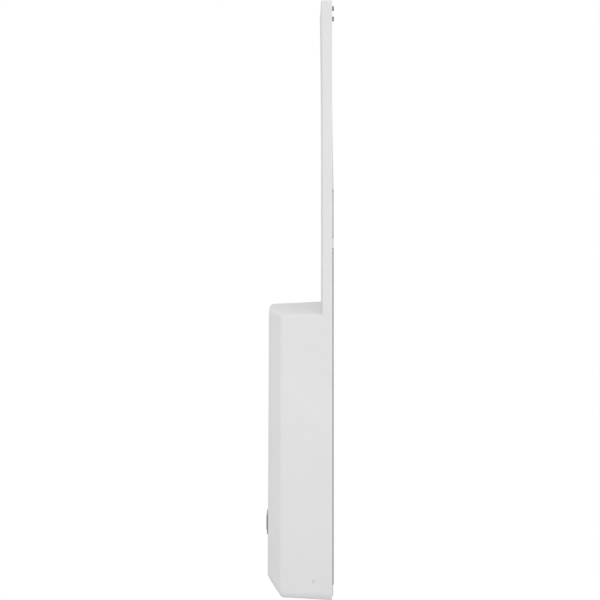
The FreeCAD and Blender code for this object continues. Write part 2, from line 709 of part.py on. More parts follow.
def top_inserts():
    """Brass inserts in the shell's top bosses, for the top screws."""
    made = []
    for x, z in sides_at(TOP_SCREW_Z):
        body = rod(2.95, 6.2, (x, CHASSIS_FRONT - 0.1, z), FORWARD)
        made.append(cut(body, [rod(2.0, 8.0, (x, RIM, z), FORWARD)]))
    return group(made)


def weld_nuts():
    nuts = []
    for x, z in bolt_points():
        nut = hexagon(10.0, 5.0, (x, CHASSIS_FRONT, z), FORWARD)
        nuts.append(cut(nut, [rod(M6_TAP, 8.0, (x, RIM, z), FORWARD)]))
    return group(nuts)


def side_screws():
    """One small white-capped socket screw low on each side, just below the side face."""
    made = []
    for s in (-1, 1):
        start, way = (s * (HALF - 0.2), *SIDE_SCREW), Vector(-s, 0, 0)
        head = rod(2.4, 1.9, start, way)
        stem = rod(1.6, 7.0, start, way)
        socket = hexagon(2.0, 0.8, start, way)
        made.append(cut(fuse([head, stem]), [socket]))
    return group(made)


# ---- antenna ------------------------------------------------------------------------------

def post_offsets():
    reach = POST_OFFSET
    return [(-reach, -reach), (reach, -reach), (reach, reach), (-reach, reach)]


def patch_post_points():
    return [(x, z + dz) for z in PATCH_Z for x, dz in post_offsets()]


def antenna_backplane():
    """The aluminium ground sheet behind the patches, flat against the chassis."""
    body = upright_plate(104.0, (516.0, 984.0), (BACKPLANE_FRONT, CHASSIS_FRONT), 5.0)
    points = [p for p in bolt_points() + plate_screw_points() if p[1] > 510.0]
    tools = [rod(8.0, 6.0, (x, -2.0, z), FORWARD) for x, z in points]
    tools += [rod(1.6, 6.0, (x, -2.0, z), FORWARD) for x, z in patch_post_points()]
    return cut(body, tools)


def patch_radiator(z):
    """A square patch with two cut corners, which makes its wave circular."""
    half, cut_back = PATCH_HALF, 14.0
    corners = [
        (-half, -half), (half - cut_back, -half), (half, cut_back - half), (half, half),
        (cut_back - half, half), (-half, half - cut_back), (-half, -half),
    ]
    points = [Vector(x, PATCH_Y[0], z + dz) for x, dz in corners]
    plate = Part.Face(Part.makePolygon(points)).extrude(Vector(0, PATCH_Y[1] - PATCH_Y[0], 0))
    across = (PATCH_Y[0] - 1.0, PATCH_Y[1] + 1.0)
    slot = box((-2.0, 2.0), across, (z - 22.0, z + 22.0))
    holes = [rod(1.6, 3.0, (x, across[0], z + dz), Y_AXIS) for x, dz in post_offsets()]
    return cut(plate, [slot] + holes)


def patch_radiators():
    return group(patch_radiator(z) for z in PATCH_Z)


def patch_posts():
    """Plastic posts that snap through the chassis and hold the patches off the ground sheet."""
    made = []
    for x, z in patch_post_points():
        post = rod(3.5, BACKPLANE_FRONT - PATCH_Y[1], (x, BACKPLANE_FRONT, z), FORWARD)
        pin = rod(1.5, RIM - PATCH_Y[0] + 0.8, (x, RIM - 0.1, z), FORWARD)
        made.append(fuse([post, pin]))
    return group(made)


def patch_feed(z):
    """The small block where a coaxial lead meets its patch."""
    return box((FEED_X - 4.0, FEED_X + 4.0), (PATCH_Y[1], BACKPLANE_FRONT), (z - 4.0, z + 4.0))


def antenna_coax(index):
    """A lead from one reader port, up its lane beside the patches and in to its feed."""
    port_x = RF_PORTS[index]
    lane = COAX_LANES[index]
    z = PATCH_Z[index]
    last = len(PATCH_Z) - 1 - index
    return cable(
        [
            (port_x, RF_Y, RF_TOP),
            (port_x, RF_Y, RF_TOP + 12.0),
            (port_x + 14.0, RF_Y + 8.0, RF_TOP + 28.0),
            (lane - 10.0, COAX_Y - 3.0, 505.0 + 7.0 * last),
            (lane, COAX_Y, 530.0 + 7.0 * last),
            (lane, COAX_Y, z - 12.0),
            (lane - 12.0, COAX_Y, z),
            (FEED_X + 4.0, COAX_Y, z),
        ],
        COAX,
    )


def antenna_coaxes():
    """The three leads, each fixed to its feed block."""
    return group(fuse([patch_feed(z), antenna_coax(index)]) for index, z in enumerate(PATCH_Z))


def coax_clips():
    """Open plastic clips on the ground sheet that hold the leads in their lanes."""
    made = []
    for index, lane in enumerate(COAX_LANES):
        heights = [z for later in CLIP_Z[: index + 1] for z in later]
        for z in heights:
            block = box((lane - 2.6, lane + 2.6), (COAX_Y - 1.2, BACKPLANE_FRONT), (z - 3.0, z + 3.0))
            made.append(cut(block, [rod(COAX / 2 + 0.05, 8.0, (lane, COAX_Y, z - 4.0), Z_AXIS)]))
    return group(made)


# ---- reader and its electronics -----------------------------------------------------------

def standoff_points():
    reader = [(s * 54.0, z) for s in (-1, 1) for z in (279.0, 427.0)]
    supply = [(x, z) for x in (-96.0, -22.0) for z in (100.0, 224.0)]
    board = [(x, z) for x in (8.0, 98.0) for z in (98.0, 226.0)]
    return reader + supply + board


def control_points():
    """The control board's own four standoffs."""
    return standoff_points()[-4:]


def module_points():
    """The standoffs under the reader and under the power supply."""
    return standoff_points()[:-4]


def standoffs():
    """Hex standoffs pressed into the chassis, which carry the modules."""
    made = []
    for x, z in standoff_points():
        top = BOARD_Y[1] if (x, z) in control_points() else READER_Y[1]
        body = hexagon(6.0, CHASSIS_FRONT - top, (x, CHASSIS_FRONT, z), FORWARD)
        stud = rod(1.5, SHEET, (x, RIM, z), FORWARD)
        thread = rod(1.5, M3_LENGTH, (x, top + M3_LENGTH - 1.4, z), FORWARD)
        made.append(cut(fuse([body, stud]), [thread]))
    return group(made)


def reader_case():
    body = slab((-READER_HALF, READER_HALF), READER_Y, READER_Z, 4.0)
    inner_half = READER_HALF - READER_WALL
    floor = READER_Y[1] - READER_WALL
    inner_z = (READER_Z[0] + READER_WALL, READER_Z[1] - READER_WALL)
    body = cut(body, [slab((-inner_half, inner_half), (READER_Y[0] - 1.0, floor), inner_z, 2.0)])
    posts = [rod(3.2, 5.5, (x, CARD_Y[1], z), Y_AXIS) for x, z in CARD_POSTS]
    bosses = [rod(3.4, floor - READER_Y[0] + 0.5, (x, READER_Y[0], z), Y_AXIS) for x, z in lid_screw_points()]
    body = fuse([body] + posts + bosses)
    ports = [rod(3.3, 6.0, (x, RF_Y, READER_Z[1] - 4.0), Z_AXIS) for x in RF_PORTS]
    threads = [rod(1.5, 8.0, (x, READER_Y[0] - 1.0, z), Y_AXIS) for x, z in lid_screw_points()]
    feet = [rod(1.7, 4.0, (x, floor - 0.5, z), Y_AXIS) for x, z in module_points()[:4]]
    card = [rod(1.0, 5.0, (x, CARD_Y[1] - 0.5, z), Y_AXIS) for x, z in CARD_POSTS]
    return cut(body, ports + threads + feet + card)


def reader_board():
    board = slab((-63.0, 63.0), CARD_Y, (READER_Z[0] + 4.0, READER_Z[1] - 4.0), 2.0)
    return cut(board, [rod(1.2, 4.0, (x, CARD_Y[0] - 1.0, z), Y_AXIS) for x, z in CARD_POSTS])


def reader_components():
    """Shield cans, the radio amplifier and small parts on the reader's board."""
    cans = [((-58, -8), (302, 352), 5.0), ((2, 58), (302, 344), 5.0), ((-34, 40), (366, 406), 7.0)]
    small = [((x, x + 8), (280, 290), 2.4) for x in (-44, -30, -16, 4, 18, 32)]
    return group(box(x, (CARD_Y[0] - h, CARD_Y[0]), z) for x, z, h in cans + small)


def reader_lid():
    """The cast lid of the reader, which is its heat sink too."""
    lid = slab((-READER_HALF, READER_HALF), (LID_FACE, READER_Y[0]), READER_Z, 4.0)
    pad = box((-58.0, 58.0), (LID_FACE - 3.5, LID_FACE), (284.0, 422.0))
    fin_y = (LID_FACE - 3.5 - FIN_HEIGHT, LID_FACE - 3.5)
    fins = [box((x - 0.9, x + 0.9), fin_y, (284.0, 422.0)) for x in range(-56, 57, 8)]
    screws = [rod(1.7, 4.0, (x, LID_FACE - 1.0, z), Y_AXIS) for x, z in lid_screw_points()]
    return cut(fuse([lid, pad] + fins), screws)


def lid_screw_points():
    return [(s * 67.0, z) for s in (-1, 1) for z in (274.0, 353.0, 432.0)]


def m3_screws():
    """Identical M3 screws: the reader's lid, the control board and the feet of both modules."""
    reader_floor = READER_Y[1] - READER_WALL
    supply_floor = POWER_Y[1] - SUPPLY_WALL
    seats = [(x, LID_FACE, z) for x, z in lid_screw_points()]
    seats += [(x, BOARD_Y[0], z) for x, z in control_points()]
    seats += [(x, reader_floor, z) for x, z in module_points()[:4]]
    seats += [(x, supply_floor, z) for x, z in module_points()[4:]]
    return group(pan_screw(seat, Y_AXIS, M3_SHANK, M3_LENGTH, 2.8, 1.9) for seat in seats)


def rf_connectors():
    """Threaded coaxial sockets on top of the reader."""
    made = []
    for x in RF_PORTS:
        stem = rod(3.1, RF_TOP - READER_Z[1] + 4.0, (x, RF_Y, READER_Z[1] - 4.0), Z_AXIS)
        nut = hexagon(8.0, 2.2, (x, RF_Y, READER_Z[1]), Z_AXIS)
        made.append(fuse([stem, nut]))
    return group(made)


def power_supply_case():
    body = slab(POWER_X, POWER_Y, POWER_Z, 2.0)
    inner = [(low + SUPPLY_WALL, high - SUPPLY_WALL) for low, high in (POWER_X, POWER_Y, POWER_Z)]
    columns = [POWER_X[0] + 15.0 + 10.0 * k for k in range(7)]
    rows = [POWER_Z[0] + 40.0 + 10.0 * k for k in range(7)]
    grille = [rod(2.2, 4.0, (x, POWER_Y[0] - 1.0, z), Y_AXIS) for x in columns for z in rows]
    glands = [
        rod(3.0, 4.0, (-40.0, -30.0, POWER_Z[0] - 1.0), Z_AXIS),
        rod(1.8, 4.0, (POWER_X[1] - 2.5, -30.0, 180.0), X_AXIS),
    ]
    feet = [rod(1.7, 4.0, (x, POWER_Y[1] - 3.0, z), Y_AXIS) for x, z in module_points()[4:]]
    return cut(body, [box(*inner)] + grille + glands + feet)


def power_supply_board():
    """The supply's board on its four legs, with notches over the case's own screws."""
    face = SUPPLY_BOARD
    x_range = (POWER_X[0] + 3.0, POWER_X[1] - 3.0)
    z_range = (POWER_Z[0] + 3.0, POWER_Z[1] - 3.0)
    board = box(x_range, (face, face + 1.6), z_range)
    legs = [rod(2.0, 2.1, (x, face + 1.5, z), Y_AXIS) for x in (-84.0, -34.0) for z in (97.0, 227.0)]
    notches = [rod(4.0, 4.0, (x, face - 1.0, z), Y_AXIS) for x, z in module_points()[4:]]
    return cut(fuse([board] + legs), notches)


def power_supply_components():
    """Transformer, input capacitors and the switching heat spreader."""
    face = SUPPLY_BOARD
    transformer = box((-78.0, -46.0), (face - 24.0, face), (150.0, 184.0))
    places = ((-86.0, 122.0), (-64.0, 122.0), (-30.0, 206.0))
    cans = [rod(7.0, 26.0, (x, face, z), FORWARD) for x, z in places]
    spreader = box((-36.0, -32.0), (face - 22.0, face), (112.0, 190.0))
    return group([transformer, spreader] + cans)


def control_board():
    body = slab(BOARD_X, BOARD_Y, BOARD_Z, 2.0)
    return cut(body, [rod(1.7, 4.0, (x, -17.0, z), Y_AXIS) for x, z in control_points()])


def control_components():
    """Processor, memory, headers and capacitors on the control board."""
    face = BOARD_Y[0]
    chips = [((34, 56), (160, 182), 2.0), ((66, 80), (164, 178), 1.6), ((36, 54), (126, 136), 2.4)]
    headers = [((8, 14), (150, 190), 9.0), ((84, 98), (196, 204), 9.0), ((20, 32), (206, 214), 7.0)]
    blocks = [box(x, (face - h, face), z) for x, z, h in chips + headers]
    cans = [rod(4.0, 11.0, (x, face, 120.0), FORWARD) for x in (70.0, 82.0, 94.0)]
    return group(blocks + cans)


def earth_stud():
    x, z = EARTH
    stud = rod(1.95, 16.0, (x, RIM, z), FORWARD)
    nut = hexagon(7.0, 3.2, (x, CHASSIS_FRONT, z), FORWARD)
    return fuse([stud, nut])


# ---- front: status light and sounder ------------------------------------------------------

def front_face_y(z):
    """Where the leaning front face is at a height."""
    middle = (TOE + NOSE_LOW + CROWN_FRONT - NOSE_TOP) / 2
    return FRONT + (z - middle) * math.tan(math.radians(FRONT_LEAN))


def lens_bezel():
    """The grey oval frame that stands proud of the front face."""
    face = front_face_y(LENS_Z - LENS_HEIGHT / 2) - 0.02
    outer = stadium(LENS_WIDTH, LENS_HEIGHT, (face - BEZEL_PROUD, face), LENS_Z)
    rim = [e for e in outer.Edges if abs(e.CenterOfMass.y - (face - BEZEL_PROUD)) < 1e-6]
    outer = outer.makeFillet(1.8, rim)
    collar = stadium(LENS_WIDTH - 12.6, LENS_HEIGHT - 12.6, (face, face + WALL + 1.5), LENS_Z)
    window = stadium(LENS_WIDTH - 17.0, LENS_HEIGHT - 17.0, (face - 6.0, face + 8.0), LENS_Z)
    seat = stadium(LENS_WIDTH - 13.0, LENS_HEIGHT - 13.0, (face - 6.0, face - 0.8), LENS_Z)
    return cut(fuse([outer, collar]), [window, seat])


def indicator_lens():
    """The smoked lens, slightly domed, seated in the bezel."""
    face = front_face_y(LENS_Z - LENS_HEIGHT / 2) - 0.02
    body = stadium(LENS_WIDTH - 13.3, LENS_HEIGHT - 13.3, (face - LENS_PROUD, face - 0.85), LENS_Z)
    rim = [e for e in body.Edges if abs(e.CenterOfMass.y - (face - LENS_PROUD)) < 1e-6]
    return body.makeFillet(1.6, rim)


def light_guide():
    face = front_face_y(LENS_Z)
    return stadium(LENS_WIDTH - 17.4, LENS_HEIGHT - 17.4, (face - 0.6, face + 6.2), LENS_Z)


def status_led_board():
    body = slab((-44.0, 44.0), LED_BOARD_Y, (LENS_Z - 14.0, LENS_Z + 14.0), 2.0)
    holes = [rod(1.3, 4.0, (x, LED_BOARD_Y[0] - 1.0, LENS_Z), Y_AXIS) for x in (-LED_SCREW_X, LED_SCREW_X)]
    return cut(body, holes)


def status_leds():
    y, z = (LED_BOARD_Y[0] - 1.4, LED_BOARD_Y[0]), (LENS_Z - 2.5, LENS_Z + 2.5)
    return group(box((x - 2.5, x + 2.5), y, z) for x in (-20.0, -10.0, 0.0, 10.0, 20.0))


def led_screws():
    seats = [(x, LED_BOARD_Y[1], LENS_Z) for x in (-LED_SCREW_X, LED_SCREW_X)]
    return group(pan_screw(seat, FORWARD, 0.95, 6.0, 2.2, 1.6) for seat in seats)


def sounder():
    """A round alarm sounder behind the slots of the slanted face."""
    body = rod(11.0, 6.0, (0, 0, -WALL - 7.2), Z_AXIS)
    mouth = rod(3.0, 3.0, (0, 0, -WALL - 3.2), Z_AXIS)
    return on_toe(cut(body, [mouth]))


# ---- connector bay, in the bay's own frame ------------------------------------------------
def port_cutouts():
    """Openings in the bay's end wall for each socket."""
    top = (BAY_DEPTH - 1.0, BAY_DEPTH + 3.0)
    tools = [box((x0, x1), (PORT_Y - 7.2, PORT_Y + 7.2), top) for x0, x1 in ((-9.3, 7.3), (14.6, 29.4))]
    tools += [rod(5.6, 4.0, (POWER_JACK_X, PORT_Y, top[0]), Z_AXIS)]
    tools += [box((-14.2, 22.2), (-33.2, -22.8), top)]
    tools += [box((ROCKER_X - 7.2, ROCKER_X + 7.2), (PORT_Y - 10.2, PORT_Y + 10.2), top)]
    tools += [rod(2.4, 4.0, (RESET_X, PORT_Y, top[0]), Z_AXIS)]
    return tools


def connector_bay():
    """The moulded tray over the door, which holds the sockets; its feet stand on the underside."""
    outer_x = (-BAY_HALF - 2.0, BAY_HALF + 2.0)
    outer = box(outer_x, (BAY_FRONT - 2.0, BAY_BACK + 2.0), (FLOOR_TOP, BAY_DEPTH + 2.0))
    inner = box((-BAY_HALF, BAY_HALF), (BAY_FRONT, BAY_BACK), (-2.0, BAY_DEPTH))
    feet = [
        box((s * 78.0 - 6.5, s * 78.0 + 6.5), (y - 6.0, y + 6.0), (FLOOR_TOP, FLOOR_TOP + 5.0))
        for s in (-1, 1) for y in BAY_FEET_Y
    ]
    strike = box((-6.0, 18.0), (BAY_FRONT - 3.0, BAY_FRONT + 1.0), (9.2, 15.8))
    threads = [rod(UNDER_SHANK + 0.05, 8.0, (x, y, 0), Z_AXIS) for x, y in bay_screw_points()]
    tray = cut(fuse([outer] + feet), [inner])
    return cut(tray, [strike] + threads + port_cutouts())


def corner_screw_points():
    """The four screws that hold the underside plate to the housing's ledges."""
    return [(s * CORNER_SCREW, y) for s in (-1, 1) for y in CORNER_SCREW_Y]


def bay_screw_points():
    """Four screws for the bay's feet and two for the door's hinge."""
    feet = [(s * 79.0, y) for s in (-1, 1) for y in BAY_FEET_Y]
    return feet + [(s * 56.0, HINGE_Y + 6.6) for s in (-1, 1)]


def underside_screw_points():
    return bay_screw_points() + corner_screw_points()


def door_opening():
    """The cut-out for the door: rounded like the door in front, square beside the hinge."""
    half = DOOR_HALF + 0.5
    rear = HINGE_Y + HINGE_Z + 0.4
    front = slab((-half, half), (DOOR_FRONT - 0.5, rear), (-3.0, 8.0), 3.0, Z_AXIS)
    return fuse([front, box((-half, half), (HINGE_Y, rear), (-3.0, 8.0))])


def underside_plate():
    """The flat moulding that closes the underside and carries the bay, the hinge and the bush."""
    gap = 0.15
    y_range = (UNDER_Y[0] + gap, UNDER_Y[1] - gap)
    plate = box((gap - UNDER_HALF, UNDER_HALF - gap), y_range, (0.0, WALL))
    bush = rod(5.6, 12.0, (GROMMET_X, GROMMET_Y, -3.0), Z_AXIS)
    seats = [underside_seat(x, y) for x, y in underside_screw_points()]
    return cut(plate, [door_opening(), bush] + seats)


def underside_seat(x, y):
    """The countersunk hole of an underside screw."""
    head, shank = UNDER_HEAD + 0.1, UNDER_SHANK + 0.15
    cone = Part.makeCone(head, shank, head - shank, Vector(x, y, 0), Z_AXIS)
    return fuse([cone, rod(head, 1.0, (x, y, -1.0), Z_AXIS), rod(shank, 6.0, (x, y, 0), Z_AXIS)])


def underside_screws():
    made = []
    for x, y in underside_screw_points():
        cone = Part.makeCone(UNDER_HEAD, UNDER_SHANK, UNDER_HEAD - UNDER_SHANK, Vector(x, y, 0.1), Z_AXIS)
        stem = rod(UNDER_SHANK, 5.2, (x, y, 0.1), Z_AXIS)
        made.append(cut(fuse([cone, stem]), [cross_recess(1.0, (x, y, 0.1), Z_AXIS)]))
    return group(made)


def shell_of_socket(x, y, z, wall, floor):
    """A socket body open downwards."""
    outer = box(x, y, z)
    inner = box((x[0] + wall, x[1] - wall), (y[0] + wall, y[1] - wall), (z[0] - 1.0, z[1] - floor))
    return cut(outer, [inner])


def socket_depth(lip):
    """From a lip below the end wall up to the connector board."""
    return (BAY_DEPTH - lip, BAY_DEPTH + BOARD_GAP - 0.05)


def network_jack():
    return shell_of_socket((-9.0, 7.0), (PORT_Y - 7.0, PORT_Y + 7.0), socket_depth(0.5), 1.4, 1.4)


def usb_jack():
    socket = shell_of_socket((15.0, 29.0), (PORT_Y - 3.0, PORT_Y + 3.0), socket_depth(0.5), 0.7, 1.2)
    tongue = box((17.0, 27.0), (PORT_Y + 0.2, PORT_Y + 1.8), (BAY_DEPTH + 1.0, BAY_DEPTH + BOARD_GAP - 0.5))
    flange = cut(
        box((14.8, 29.2), (PORT_Y - 7.0, PORT_Y + 7.0), (BAY_DEPTH + 0.2, BAY_DEPTH + 1.4)),
        [box((15.5, 28.5), (PORT_Y - 2.5, PORT_Y + 2.5), (BAY_DEPTH - 1.0, BAY_DEPTH + 3.0))],
    )
    return fuse([socket, tongue, flange])


def power_jack():
    low, high = socket_depth(0.8)
    body = rod(5.4, high - low, (POWER_JACK_X, PORT_Y, low), Z_AXIS)
    collar = rod(7.0, 1.0, (POWER_JACK_X, PORT_Y, BAY_DEPTH - 1.05), Z_AXIS)
    hollow = rod(3.2, 11.0, (POWER_JACK_X, PORT_Y, BAY_DEPTH - 2.0), Z_AXIS)
    pin = rod(1.0, 10.0, (POWER_JACK_X, PORT_Y, BAY_DEPTH + 0.5), Z_AXIS)
    return fuse([cut(fuse([body, collar]), [hollow]), pin])


def terminal_block():
    body = box((-14.0, 22.0), (-33.0, -23.0), socket_depth(2.0))
    mouth = (BAY_DEPTH - 3.0, BAY_DEPTH + 5.0)
    entries = [box((x - 1.4, x + 1.4), (-31.5, -28.5), mouth) for x in TERMINAL_X]
    screws = [rod(1.3, 3.0, (x, -25.5, mouth[0]), Z_AXIS) for x in TERMINAL_X]
    return cut(body, entries + screws)


def reset_button():
    cap = rod(2.2, 4.2, (RESET_X, PORT_Y, BAY_DEPTH - 1.6), Z_AXIS)
    tip = [e for e in cap.Edges if abs(e.CenterOfMass.z - (BAY_DEPTH - 1.6)) < 1e-6]
    cap = cap.makeFillet(0.6, tip)
    flange = rod(3.4, 1.0, (RESET_X, PORT_Y, BAY_DEPTH + 2.05), Z_AXIS)
    return fuse([cap, flange])


def reset_switch():
    """The switch that the reset button presses, one button's travel above it."""
    top = BAY_DEPTH + BOARD_GAP - 0.05
    body = box((RESET_X - 3.5, RESET_X + 3.5), (PORT_Y - 3.5, PORT_Y + 3.5), (BAY_DEPTH + 5.2, top))
    nib = rod(1.6, 1.0, (RESET_X, PORT_Y, BAY_DEPTH + 4.35), Z_AXIS)
    return fuse([body, nib])


def connector_board():
    """The board over the bay that carries its sockets, on four snap posts."""
    low = BAY_DEPTH + BOARD_GAP
    body = slab((-62.0, 41.0), (PORT_Y - 13.0, -20.0), (low, low + 1.6), 2.0, Z_AXIS)
    posts = [
        box((x - 2.5, x + 2.5), (y - 2.2, y + 2.2), (BAY_DEPTH + 2.0, low + 0.5))
        for x in (-38.0, 36.0) for y in (-62.0, -26.0)
    ]
    return fuse([body] + posts)


def switch_frame():
    x, y = (ROCKER_X - 7.0, ROCKER_X + 7.0), (PORT_Y - 10.0, PORT_Y + 10.0)
    outer = box(x, y, (BAY_DEPTH - 0.2, BAY_DEPTH + 16.0))
    rim = (BAY_DEPTH - 1.4, BAY_DEPTH - 0.02)
    flange = slab((x[0] - 1.5, x[1] + 1.5), (y[0] - 1.5, y[1] + 1.5), rim, 1.5, Z_AXIS)
    well = box((x[0] + 1.2, x[1] - 1.2), (y[0] + 1.2, y[1] - 1.2), (BAY_DEPTH - 3.0, BAY_DEPTH + 9.0))
    pins = [rod(0.95, 1.1, (ROCKER_X + s * 5.9, PORT_Y, ROCKER_PIVOT), Vector(-s, 0, 0)) for s in (-1, 1)]
    return fuse([cut(fuse([outer, flange]), [well])] + pins)


def power_rocker():
    """The rocker of the power switch, shown switched off."""
    face = [(-8.0, -1.6), (0.0, 0.8), (8.0, -3.5)]
    back = [(7.9, 1.0), (4.0, 4.5), (-4.0, 4.5), (-7.9, 1.0)]
    profile = face + back + face[:1]
    points = [Vector(ROCKER_X - 5.4, PORT_Y + y, ROCKER_PIVOT + z) for y, z in profile]
    body = Part.Face(Part.makePolygon(points)).extrude(Vector(10.8, 0, 0))
    sockets = [rod(1.0, 1.4, (ROCKER_X + s * 5.5, PORT_Y, ROCKER_PIVOT), Vector(-s, 0, 0)) for s in (-1, 1)]
    return cut(body, sockets)


def cable_grommet():
    """The rubber bush in the underside where the cables come out."""
    place = (GROMMET_X, GROMMET_Y)
    neck = rod(5.4, WALL + 2.6, (*place, -1.0), Z_AXIS)
    lower = rod(GROMMET_FLANGE, 1.0, (*place, -1.05), Z_AXIS)
    upper = rod(GROMMET_FLANGE, 1.6, (*place, FLOOR_TOP), Z_AXIS)
    lip = [e for e in lower.Edges if abs(e.CenterOfMass.z + 1.05) < 1e-6]
    body = fuse([neck, lower.makeFillet(0.6, lip), upper])
    return cut(body, [rod(GROMMET_BORE, 12.0, (*place, -4.0), Z_AXIS)])


def hinge_bracket():
    """The fixed half of the door's hinge, screwed inside the underside."""
    made = []
    for low, high in fixed_knuckles():
        barrel = rod(HINGE_Z - 0.1, high - low, (low, HINGE_Y, HINGE_Z), X_AXIS)
        arm = box((low, high), (HINGE_Y, HINGE_Y + 9.0), (FLOOR_TOP, HINGE_Z + 2.4))
        made += [barrel, arm]
    strip = box((-64.0, 64.0), (HINGE_Y + 4.0, HINGE_Y + 9.0), (FLOOR_TOP, HINGE_Z + 2.4))
    screws = [rod(UNDER_SHANK + 0.05, 8.0, (x, y, 0), Z_AXIS) for x, y in bay_screw_points()]
    return cut(fuse(made + [strip]), screws + [rod(1.3, 160.0, (-80.0, HINGE_Y, HINGE_Z), X_AXIS)])


def fixed_knuckles():
    return [(-48.0, -32.0), (-8.0, 8.0), (32.0, 48.0)]


def door_knuckles():
    return [(-64.0, -48.4), (-31.6, -8.4), (8.4, 31.6), (48.4, 64.0)]


def hinge_pin():
    return rod(1.2, 130.0, (-65.0, HINGE_Y, HINGE_Z), X_AXIS)


def door_panel():
    plate = slab((-DOOR_HALF, DOOR_HALF), (DOOR_FRONT, HINGE_Y), (0.0, DOOR_THICK), 2.5, Z_AXIS)
    knuckle_y = (HINGE_Y - 3.6, HINGE_Y + 1.0)
    notches = [box((low - 0.4, high + 0.4), knuckle_y, (-1.0, 5.0)) for low, high in fixed_knuckles()]
    barrels = [rod(HINGE_Z, high - low, (low, HINGE_Y, HINGE_Z), X_AXIS) for low, high in door_knuckles()]
    webs = [box((low, high), (HINGE_Y - 2.9, HINGE_Y), (0.0, DOOR_THICK)) for low, high in door_knuckles()]
    rib_z = (DOOR_THICK - 0.2, DOOR_THICK + 2.2)
    stiffeners = [box((-66.0, 66.0), (y - 0.8, y + 0.8), rib_z) for y in (-41.0, -48.0)]
    body = fuse([cut(plate, notches)] + barrels + webs + stiffeners)
    grip_y = (DOOR_FRONT + 3.0, DOOR_FRONT + 10.0)
    grips = [box((x - 0.8, x + 0.8), grip_y, (-0.6, 0.7)) for x in (34.0, 38.0, 42.0, 46.0, 50.0)]
    tools = [rod(1.3, 160.0, (-80.0, HINGE_Y, HINGE_Z), X_AXIS), rod(6.1, 12.0, (0, LOCK_Y, -3.0), Z_AXIS)]
    return cut(body, tools + grips)


def lock_body():
    barrel = rod(6.0, 10.2, (0, LOCK_Y, -0.5), Z_AXIS)
    flange = rod(8.0, 1.2, (0, LOCK_Y, -1.2), Z_AXIS)
    face = [e for e in flange.Edges if abs(e.CenterOfMass.z + 1.2) < 1e-6]
    flange = flange.makeFillet(0.6, face)
    return cut(fuse([barrel, flange]), [rod(4.1, 14.0, (0, LOCK_Y, -3.0), Z_AXIS)])


def lock_nut():
    nut = hexagon(15.0, 2.4, (0, LOCK_Y, DOOR_THICK + 0.02), Z_AXIS)
    return cut(nut, [rod(6.05, 6.0, (0, LOCK_Y, 1.0), Z_AXIS)])


def lock_plug():
    plug = rod(4.0, 13.0, (0, LOCK_Y, -1.0), Z_AXIS)
    tang = box((-2.2, 2.2), (LOCK_Y - 2.2, LOCK_Y + 2.2), (11.0, 14.8))
    thin = cut(plug, [rod(6.0, 2.0, (0, LOCK_Y, 10.6), Z_AXIS)])
    keyway = box((-0.7, 0.7), (LOCK_Y - 2.6, LOCK_Y + 2.6), (-2.0, 6.0))
    neck = box((-2.2, 2.2), (LOCK_Y - 2.2, LOCK_Y + 2.2), (10.0, 13.5))
    return cut(fuse([thin, tang, neck]), [keyway])


def lock_cam():
    """The cam, drawn unlocked: it points along the door and clears the bay's strike."""
    arm = slab((-5.0, CAM_REACH), (LOCK_Y - 4.0, LOCK_Y + 4.0), (11.0, 13.0), 3.9, Z_AXIS)
    square = box((-2.25, 2.25), (LOCK_Y - 2.25, LOCK_Y + 2.25), (9.0, 15.0))
    return cut(arm, [square])


# ---- leads held inside --------------------------------------------------------------------
def led_cable():
    """From the control board's header forward to the status light board."""
    header_top = BOARD_Y[0] - 9.0
    return cable(
        [
            (11.0, header_top, 170.0), (11.0, -36.0, 170.0), (9.0, -50.0, 158.0), (6.0, -66.0, 143.0),
            (2.0, -80.0, 131.0), (0.0, -88.0, LENS_Z + 6.5), (0.0, LED_BOARD_Y[1], LENS_Z + 6.5),
        ],
        3.0,
    )


def supply_lead():
    """From the power supply across to the control board's power header."""
    header_top = BOARD_Y[0] - 7.0
    return cable(
        [
            (POWER_X[1] - 1.5, -30.0, 180.0), (-4.0, -30.0, 180.0), (6.0, -33.0, 188.0), (16.0, -36.0, 200.0),
            (25.0, -36.0, 209.0), (26.0, -30.0, 210.0), (26.0, header_top, 210.0),
        ],
        3.4,
    )


# ---- write every node ---------------------------------------------------------------------
os.makedirs("parts", exist_ok=True)

NODES = {
    "upper_cover": upper_cover,
    "lower_housing": lower_housing,
    "rear_chassis": rear_chassis,
    "perimeter_gasket": perimeter_gasket,
    "mounting_plate_lower": mounting_plate_lower,
    "mounting_plate_upper": mounting_plate_upper,
    "rear_spacers": rear_spacers,
    "plate_screws": plate_screws,
    "shell_screws": shell_screws,
    "top_screws": top_screws,
    "top_inserts": top_inserts,
    "weld_nuts": weld_nuts,
    "side_screws": side_screws,
    "antenna_backplane": antenna_backplane,
    "patch_radiators": patch_radiators,
    "patch_posts": patch_posts,
    "antenna_coaxes": antenna_coaxes,
    "coax_clips": coax_clips,
    "standoffs": standoffs,
    "reader_case": reader_case,
    "reader_board": reader_board,
    "reader_components": reader_components,
    "reader_lid": reader_lid,
    "m3_screws": m3_screws,
    "rf_connectors": rf_connectors,
    "power_supply_case": power_supply_case,
    "power_supply_board": power_supply_board,
    "power_supply_components": power_supply_components,
    "control_board": control_board,
    "control_components": control_components,
    "earth_stud": earth_stud,
    "lens_bezel": lens_bezel,
    "indicator_lens": indicator_lens,
    "light_guide": light_guide,
    "status_led_board": status_led_board,
    "status_leds": status_leds,
    "led_screws": led_screws,
    "sounder": sounder,
    "led_cable": led_cable,
    "supply_lead": supply_lead,
}
